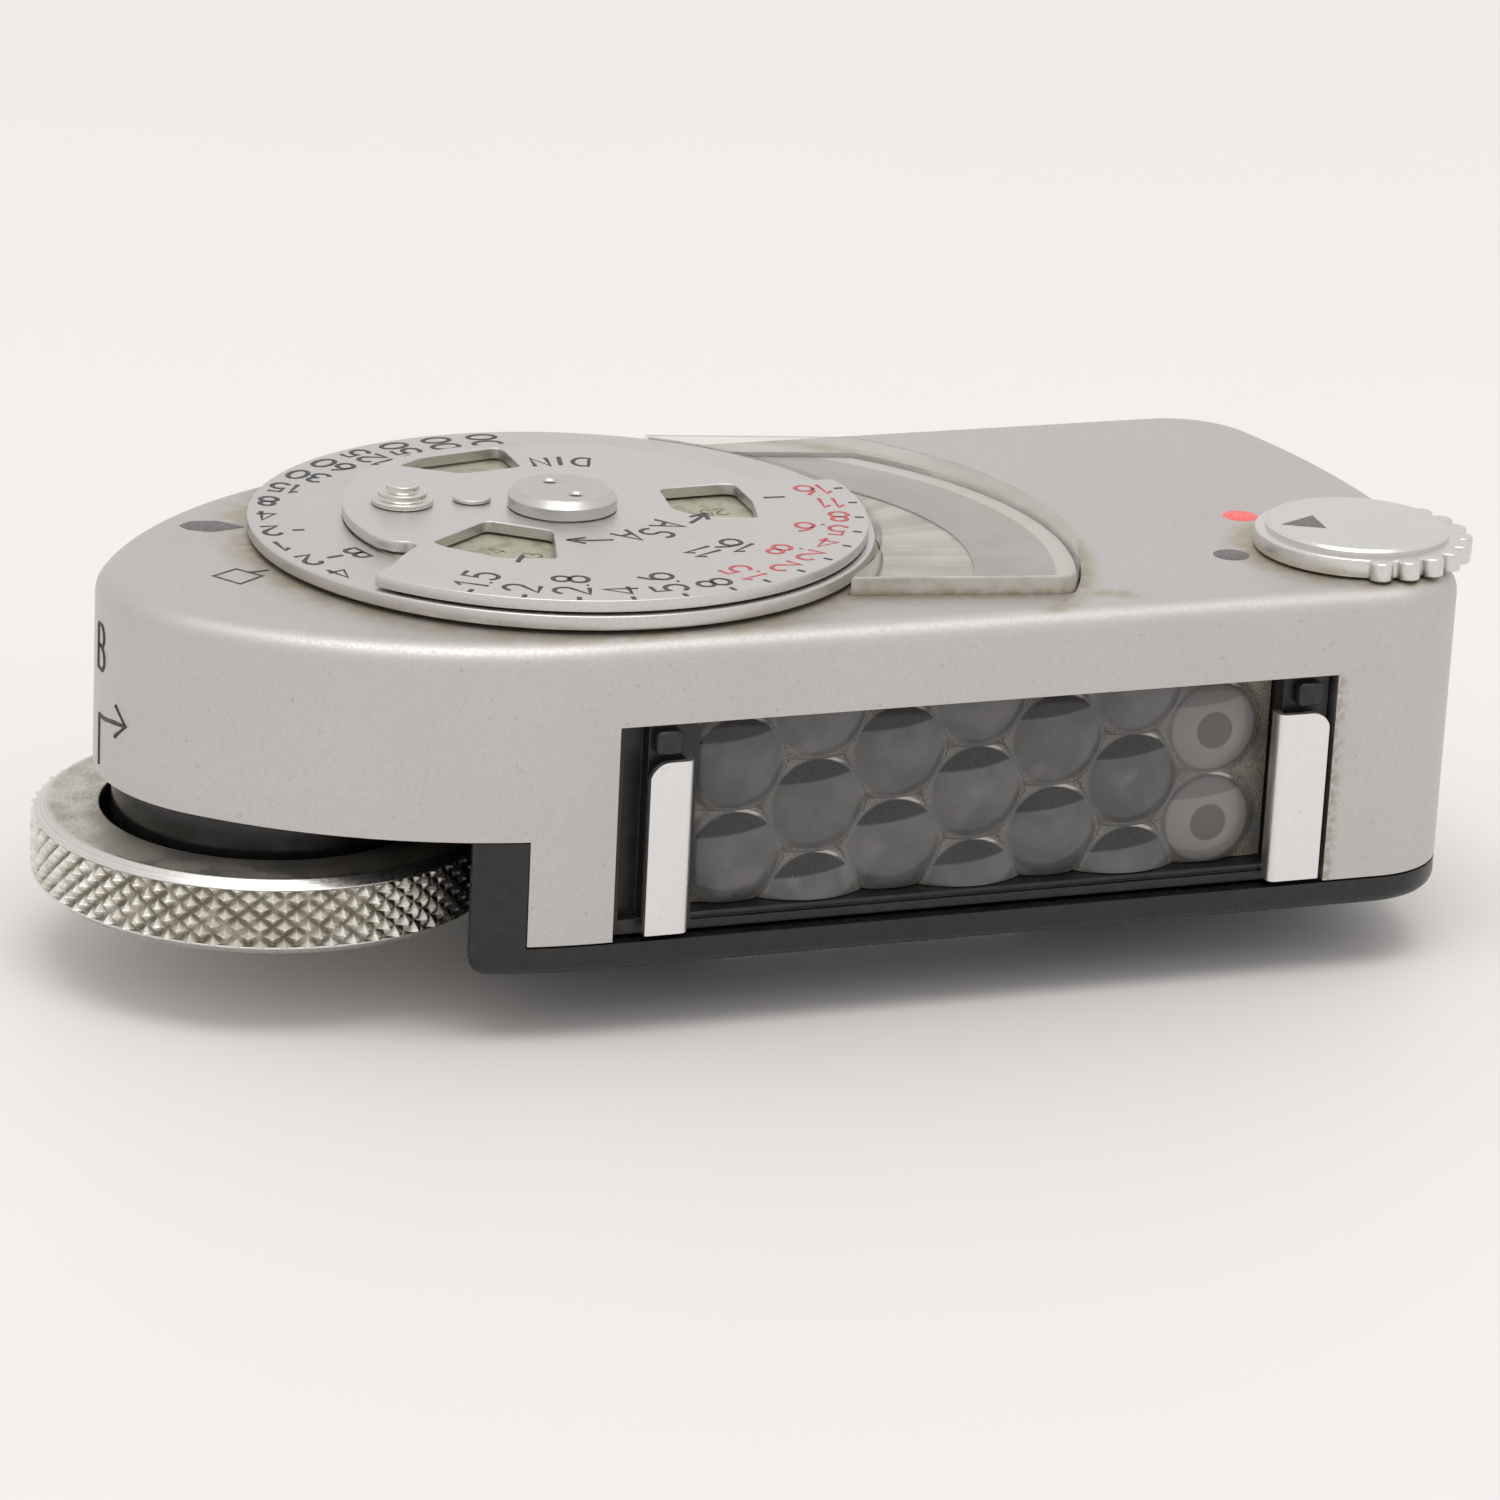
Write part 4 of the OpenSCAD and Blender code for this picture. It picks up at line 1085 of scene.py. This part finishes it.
def make_rail(name, node, side):
    """Bent sheet rail: a flange with a rounded upper corner, and an inner edge that bends back.
    side is -1 for the left one, whose flange points left."""
    x0, x1 = low(node, 0), high(node, 0)
    z0, z1 = low(node, 2), high(node, 2)
    sheet, bend, corner_r = 0.36, 0.45, 1.05
    y, back_y = FRONT - 0.35, FRONT + 0.6
    inner, outer = (x1, x0) if side < 0 else (x0, x1)
    out = [(outer, y + sheet), (outer, y + 0.12), (outer - side * 0.04, y + 0.03), (outer - side * 0.12, y)]
    back = []
    for k in range(9):
        a = math.radians(11.25 * k)
        for face, r in ((out, bend), (back, bend - sheet)):
            face.append((inner + side * (bend - r * math.sin(a)), y + bend - r * math.cos(a)))
    loop = tidy(out + [(inner, back_y), (inner + side * sheet, back_y)] + back[::-1])
    rail = prism(name, anticlockwise(loop), z0, z1)
    hub = (outer - side * corner_r, z1 - corner_r)
    turns = [math.radians(9 * k) for k in range(11)]
    curve = [(hub[0] + side * corner_r * math.sin(a), hub[1] + corner_r * math.cos(a)) for a in turns]
    points = [(hub[0], z1 + 1)] + curve + [(outer + side, hub[1]), (outer + side, z1 + 1)]
    cutter = prism(name + "_corner", anticlockwise(points), 0, 4)
    cutter.data.transform(Matrix.Rotation(math.radians(90), 4, "X"))
    cutter.data.transform(Matrix.Translation((0, (y + 2.0) * MM, 0)))
    cut(rail, cutter)
    place(polish(rail, 0.05, 40), MATERIALS["rail_metal"], "housing", [node])


def make_contacts():
    for i, x in enumerate((-15, 19.6)):
        lug = box(f"booster_lug_{i}", x - 0.7, x + 0.7, FRONT - 0.1, FRONT + 0.6, 14.7, 15.9)
        place(polish(lug, 0.22, 40, 3), MATERIALS["black_frame"], "housing",
              ["booster_contacts"] if i == 0 else ())


# ---------- dial ----------

def make_lower_discs():
    """The shutter ring with its raised rim, and the film-speed ring inside it."""
    bore, well = 2.49, 11.05   # radii of the bore and of the well for the film ring
    z0, floor = 20.75, 21.1
    profile = [(bore, z0), (DISC_R, z0), (DISC_R, DISC_TOP), (well, DISC_TOP), (well, floor), (bore, floor)]
    lower = lathe("shutter_ring", profile, DIAL, 240, 0.14)
    place(polish(lower, 0, 50), MATERIALS["shutter_scale"], "shutter_dial", ["shutter_disc"])
    film = lathe("film_ring", [(bore, 21.11), (11, 21.11), (11, 21.47), (bore, 21.47)], DIAL, 160, 0.05)
    place(polish(film, 0, 50), MATERIALS["film_scale"], "shutter_dial", ["film_speed_disc"])


def make_aperture_disc():
    """Full rim in front, cut back behind, with a rounded notch on the left and three windows."""
    o = (0.0, 0.0)
    loop = arc(o, UPPER_R, -144.5, 6.8, 0.35)
    loop += [about(o, 13.1, 9.5), about(o, 11.75, 13.5)]
    loop += arc(o, 11.45, 17.5, 140, 0.4)
    loop += arc(o, 11.2, 146, 196, 0.4)
    loop += [(-10.2, -3.9)]
    loop += arc((-9.75, -4.62), 0.5, 80, -60, 0.15)
    loop += [(-10.6, -6.4), (-11.35, -7.5)]
    windows = [
        [(-8.32, -4.37), (-4.56, -1.51), (-1.77, -3.82), (-3.08, -8.33), (-5.81, -7.60), (-7.94, -5.30)],
        [(5.98, 2.05), (9.62, 2.22), (10.12, 1.94), (10.00, -0.93), (9.26, -3.80), (6.39, -3.04),
         (5.45, -1.43)],
        [(-6.04, 8.65), (-4.48, 9.82), (-0.04, 10.81), (0.26, 10.38), (0.20, 7.22), (-3.21, 6.62)],
    ]
    loops = [tidy(loop)] + [soften(anticlockwise(w)[::-1], 0.4) for w in windows] + [circle(o, 2.53)[::-1]]
    levels = edge_levels(21.6, UPPER_TOP, 0.05, 0.08, 3)
    disc = loft("aperture_plate", [from_dial(loop) for loop in loops], levels)
    place(polish(disc, 0, 60), MATERIALS["aperture_scale"], "aperture_dial",
          ["aperture_disc"])


def make_dial_hardware():
    """The nut with its two key holes, the stud and the rivet."""
    holes = [circle(p, 0.12, 0.05)[::-1] for p in NUT_HOLES]
    nut = loft("nut", [circle(DIAL, 2.8)] + holes, [(0, 22.26), (0, 22.82), (0.34, 23.2)])
    place(polish(nut, 0, 30), MATERIALS["nut"], body_of("dial_nut"), ["dial_nut"])
    # painted shade: a black disc down in each key hole stands for the shade inside it
    for i, p in enumerate(NUT_HOLES):
        shade = prism(f"nut_hole_shade_{i}", circle(p, 0.42, 0.05), 22.9, 23.08)
        place(polish(shade), MATERIALS["black_ink"], body_of("dial_nut"))
    foot, seat = 21.65, 22.22   # lower ends, and where the heads meet the disc
    profile = [(0, foot), (0.59, foot), (0.59, seat), (1.6, seat), (1.6, 22.52), (1.25, 22.56),
               (1.25, 22.88), (0.85, 22.92), (0.85, 23.25), (0, 23.25)]
    stud = lathe("stud", profile, STUD, 64, 0.09)
    place(polish(stud), MATERIALS["stud"], body_of("setting_stud"), ["setting_stud"])
    profile = [(0, foot), (0.49, foot), (0.49, seat), (1.0, seat), (1.0, 22.45), (0, 22.45)]
    rivet = lathe("rivet", profile, RIVET, 48, 0.1)
    place(polish(rivet), MATERIALS["aperture_scale"], body_of("disc_rivet"),
          ["disc_rivet"])


def reading_out(text, angle, end, height):
    """A number that runs outwards on a radius of the dial and stops at that distance."""
    lines, width = wording(text, height)
    return moved(lines, DIAL, angle, (end - width, -height / 2))


def reading_in(text, angle, distance, height, centred=False):
    """A number that runs inwards from that distance, or is centred on it."""
    lines, width = wording(text, height)
    start = distance + width / 2 if centred else distance
    return moved(lines, DIAL, angle + 180, (-start, -height / 2))


def tick(angle, r0, r1):
    return [about(DIAL, r0, angle), about(DIAL, r1, angle)]


def arrow(points):
    """A line with a head at its last point, given from the dial's axis."""
    path = from_dial(points)
    back = bearing(path[-1], path[-2])
    return [path] + [[path[-1], about(path[-1], 1.05, back + side)] for side in (-28, 28)]


def print_dial():
    black, red, aperture = MATERIALS["black_ink"], MATERIALS["red_ink"], body_of("aperture_disc")
    lines = []
    for i, text in enumerate("4 2 1 2 4 8 15 30 60 125 250 500 1000".split()):
        lines += reading_out(text, -155.0 - 9.77 * i, 15.5, 1.5)
    lines += reading_out("B", -164.4, 12.75, 1.5)
    lines += [tick(-164.4, 13.2, 14.1), tick(175.9, 13.4, 14.0)]
    ink("shutter_figures", lines, DISC_TOP, 0.28, black, body_of("shutter_disc"))
    stops = ["1.5", "2", "2.8", "4", "5.6", "8"]
    lines, second = [], []
    for i, text in enumerate(stops):
        lines += reading_in(text, -126.8 + 10.02 * i, 14.6, 1.75)
        lines.append(tick(-125.6 + 10.02 * i, 15.1, 15.55))
    lines += reading_in("11", -62.9, 9.9, 1.75, True) + reading_in("16", -51.8, 10.3, 1.75, True)
    for i, text in enumerate(stops + ["11", "16"]):
        second += reading_in(text, -67.0 + 9.7 * i, 14.6, 1.6)
        lines.append(tick(-67.0 + 9.7 * i, 14.95, 15.4))
    lines += [tick(-3.2, 10.75, 11.9), tick(-121.5, 8.85, 10.0)]
    # film-speed letters: one row reads from the back, the other from the front
    for text, angle, r in (("D", 64.5, 8.2), ("I", 72.2, 8.15), ("N", 79.6, 7.9)):
        figure, width = wording(text, 1.45)
        lines += moved(figure, about(DIAL, r, angle), angle + 94, (-width / 2, -0.72))
    for text, at in (("A", (1.75, -5.5)), ("S", (3.25, -5.3)), ("A", (4.3, -4.05))):
        figure, width = wording(text, 1.75)
        lean = bearing((0, 0), at) + 270 + 8
        lines += moved(figure, from_dial([at])[0], lean, (-width / 2, -0.87))
    lines += arrow([(0.7, -5.95), (-0.5, -5.85), (-1.6, -5.5)])
    lines += arrow([(5.5, -4.05), (6.2, -3.35), (6.8, -2.6)])
    ink("aperture_figures", lines, UPPER_TOP, 0.26, black, aperture)
    ink("aperture_figures_red", second, UPPER_TOP, 0.24, red, aperture)
    small = []
    for text, angle, r in (("4", -138.5, 6.6), ("13", -122, 6.6), ("5", -15, 8.2), ("25", -2, 8.2),
                           ("21", 100, 8.2), ("24", 112, 8.2)):
        small += reading_in(text, angle, r, 1.0, True)
    ink("film_figures", small, high("film_speed_disc", 2), 0.12, MATERIALS["olive_ink"],
        body_of("film_speed_disc"))


# ---------- reading window ----------

def make_window():
    """The clear cover, with a grey mask and a pale sheet of painted light inside it."""
    cover = loft("window_pane", [window_plan()], edge_levels(19.4, 21.5, 0, 0.16, 3))
    place(polish(cover, 0, 50), MATERIALS["clear_window"], "housing", ["window_cover"])
    cover.data.materials.append(MATERIALS["cover_edge"])
    for p in cover.data.polygons:
        if p.normal.y < -0.5 and p.center.z > 20 * MM:
            p.material_index = 1
    mask = prism("window_mask", window_plan(-0.12), TOP - 0.3, TOP - 0.24)
    cut(mask, prism("mask_opening", circle(WINDOW_ROUND, BAND_R), TOP - 1, TOP + 1))
    place(polish(mask), MATERIALS["mask"], "housing")
    # painted light: a pale, partly see-through sheet over the scale card
    painted_light_lining = prism("window_painted_light_lining", window_plan(-0.14), TOP - 0.4, TOP - 0.36)
    place(polish(painted_light_lining), MATERIALS["painted_light_lining"], "housing")


# ---------- range lever and marks ----------

def make_lever():
    """A toothed flange, a smooth face and a pointer filled with grey."""
    z0 = low("range_lever", 2)
    metal = MATERIALS["lever_metal"]
    teeth = [-102 + 16 * k for k in range(9)]
    spread = 6.6
    loop = arc(LEVER, 5.3, teeth[-1] + spread, 360 + teeth[0] - spread, 0.3)
    for a in teeth:
        loop += arc(about(LEVER, 5.38, a), 0.62, a - 96, a + 96, 0.15)
    flange = loft("lever_flange", [tidy(loop)], edge_levels(z0, z0 + 0.98, 0.08, 0.16, 3))
    place(polish(flange, 0, 50), metal, "range_switch", ["range_lever"])
    levels = [(0, z0 + 0.7), (0, LEVER_TOP - 0.14), (0.14, LEVER_TOP)]
    face = loft("lever_face", [circle(LEVER, 4.75)], levels)
    place(polish(face, 0, 25), metal, "range_switch")
    mark = [(LEVER[0] + x, LEVER[1] + y) for x, y in ((-4.1, 0.62), (-2.0, -0.52), (-1.75, 1.75))]
    decal("lever_pointer", soften(mark, 0.08), LEVER_TOP, MATERIALS["grey_ink"], "range_switch")


def make_marks():
    grey, black = MATERIALS["grey_ink"], MATERIALS["black_ink"]
    wedge = from_dial([(-15.2, 4.9), (-16.4, 6.3), (-17.8, 6.5), (-18.6, 5.85), (-18.3, 5.05),
                       (-17.2, 4.4)])
    decal("index_wedge", soften(anticlockwise(wedge), 0.3), TOP, grey, "housing")
    square = from_dial([(-19.1, -2.64), (-17.67, -1.76), (-16.72, -3.13), (-18.15, -4.17),
                        (-19.1, -2.64)])
    line = from_dial([(-17.2, -2.45), (-16.15, -2.3)])
    ink("square_mark", [square, line], TOP, 0.28, black, "housing")
    red_at, grey_at = from_dial([(36.46, -3.62), (33.08, -9.89)])
    decal("red_range_dot", circle(red_at, 0.95, 0.2), TOP, MATERIALS["red_dot"], "housing")
    decal("grey_range_dot", circle(grey_at, 0.95, 0.2), TOP, grey, "housing")
    # letter, index line and arrow on the round end's wall, first as (way round, height)
    flat = [[(0.85 * x - 0.32, y + 16.1) for x, y in s] for s in wording("B", 2.3)[0]]
    flat += [[(0, 11.1), (0, 13.8)], [(0, 13.7), (0.8, 13.72), (1.9, 13.9), (3.1, 14.03)],
             [(2.1, 14.85), (3.1, 14.03), (2.05, 13.2)]]
    lines = [[(*about(END, END_R - 0.07, -180 + math.degrees(s / END_R)), z) for s, z in stroke]
             for stroke in flat]
    place(stroked("end_wall_marks", lines, 0.3, close=False), black, "housing")


make_casing()
make_base()
make_wheel()
make_bezel()
make_lens()
make_rail("rail_left_sheet", "left_rail", -1)
make_rail("rail_right_sheet", "right_rail", 1)
make_contacts()
make_lower_discs()
make_aperture_disc()
make_dial_hardware()
print_dial()
make_window()
make_lever()
make_marks()


# ---------- floor, light and camera ----------

def make_stage():
    floor = link("floor", bpy.data.meshes.new("floor"))
    bm = bmesh.new()
    bm.faces.new([bm.verts.new((x, y, 0)) for x, y in ((-3, -3), (3, -3), (3, 3), (-3, 3))])
    bm.to_mesh(floor.data)
    bm.free()
    f = Finish("floor_paper", (0.86, 0.845, 0.835), 0.5)
    f.shades((0.82, 0.80, 0.79), (0.80, 0.78, 0.77), 0.004, 0.6)
    f.set("Specular IOR Level", 0.3)
    floor.data.materials.append(f.material)


def area_light(name, at, aim, width, height, power):
    data = bpy.data.lights.new(name, "AREA")
    data.shape = "RECTANGLE"
    data.size, data.size_y = width, height
    data.energy = power
    light = link(name, data)
    light.location = at
    light.rotation_mode = "QUATERNION"
    light.rotation_quaternion = (Vector(aim) - Vector(at)).to_track_quat("-Z", "Y")


def make_lights():
    world = bpy.data.worlds.new("studio")
    bpy.context.scene.world = world
    world.use_nodes = True
    background = world.node_tree.nodes["Background"]
    background.inputs["Color"].default_value = (1.0, 0.985, 0.97, 1)
    background.inputs["Strength"].default_value = 0.86
    area_light("overhead_softbox", (-0.05, -0.16, 0.75), (0, 0, 0), 0.6, 0.36, 1.9)


def make_camera():
    """The photograph's viewpoint: in front, to the left and 19 degrees above."""
    viewpoint = Vector((-115.751, -285.582, 114.305))   # mm
    yaw, pitch, roll = -0.3717, -0.3322, -0.0502        # radians
    data = bpy.data.cameras.new("camera")
    data.lens = 149.33
    data.sensor_width = 36
    data.clip_start = 0.01
    camera = link("camera", data)
    turn = Matrix.Rotation(yaw, 3, "Z") @ Matrix.Rotation(pitch, 3, "X") @ Matrix.Rotation(roll, 3, "Y")
    axes = Matrix((turn.col[0], turn.col[2], -turn.col[1])).transposed()
    camera.matrix_world = Matrix.Translation(viewpoint * MM) @ axes.to_4x4()
    bpy.context.scene.camera = camera


make_stage()
make_lights()
make_camera()
bpy.context.scene.view_settings.view_transform = "Standard"
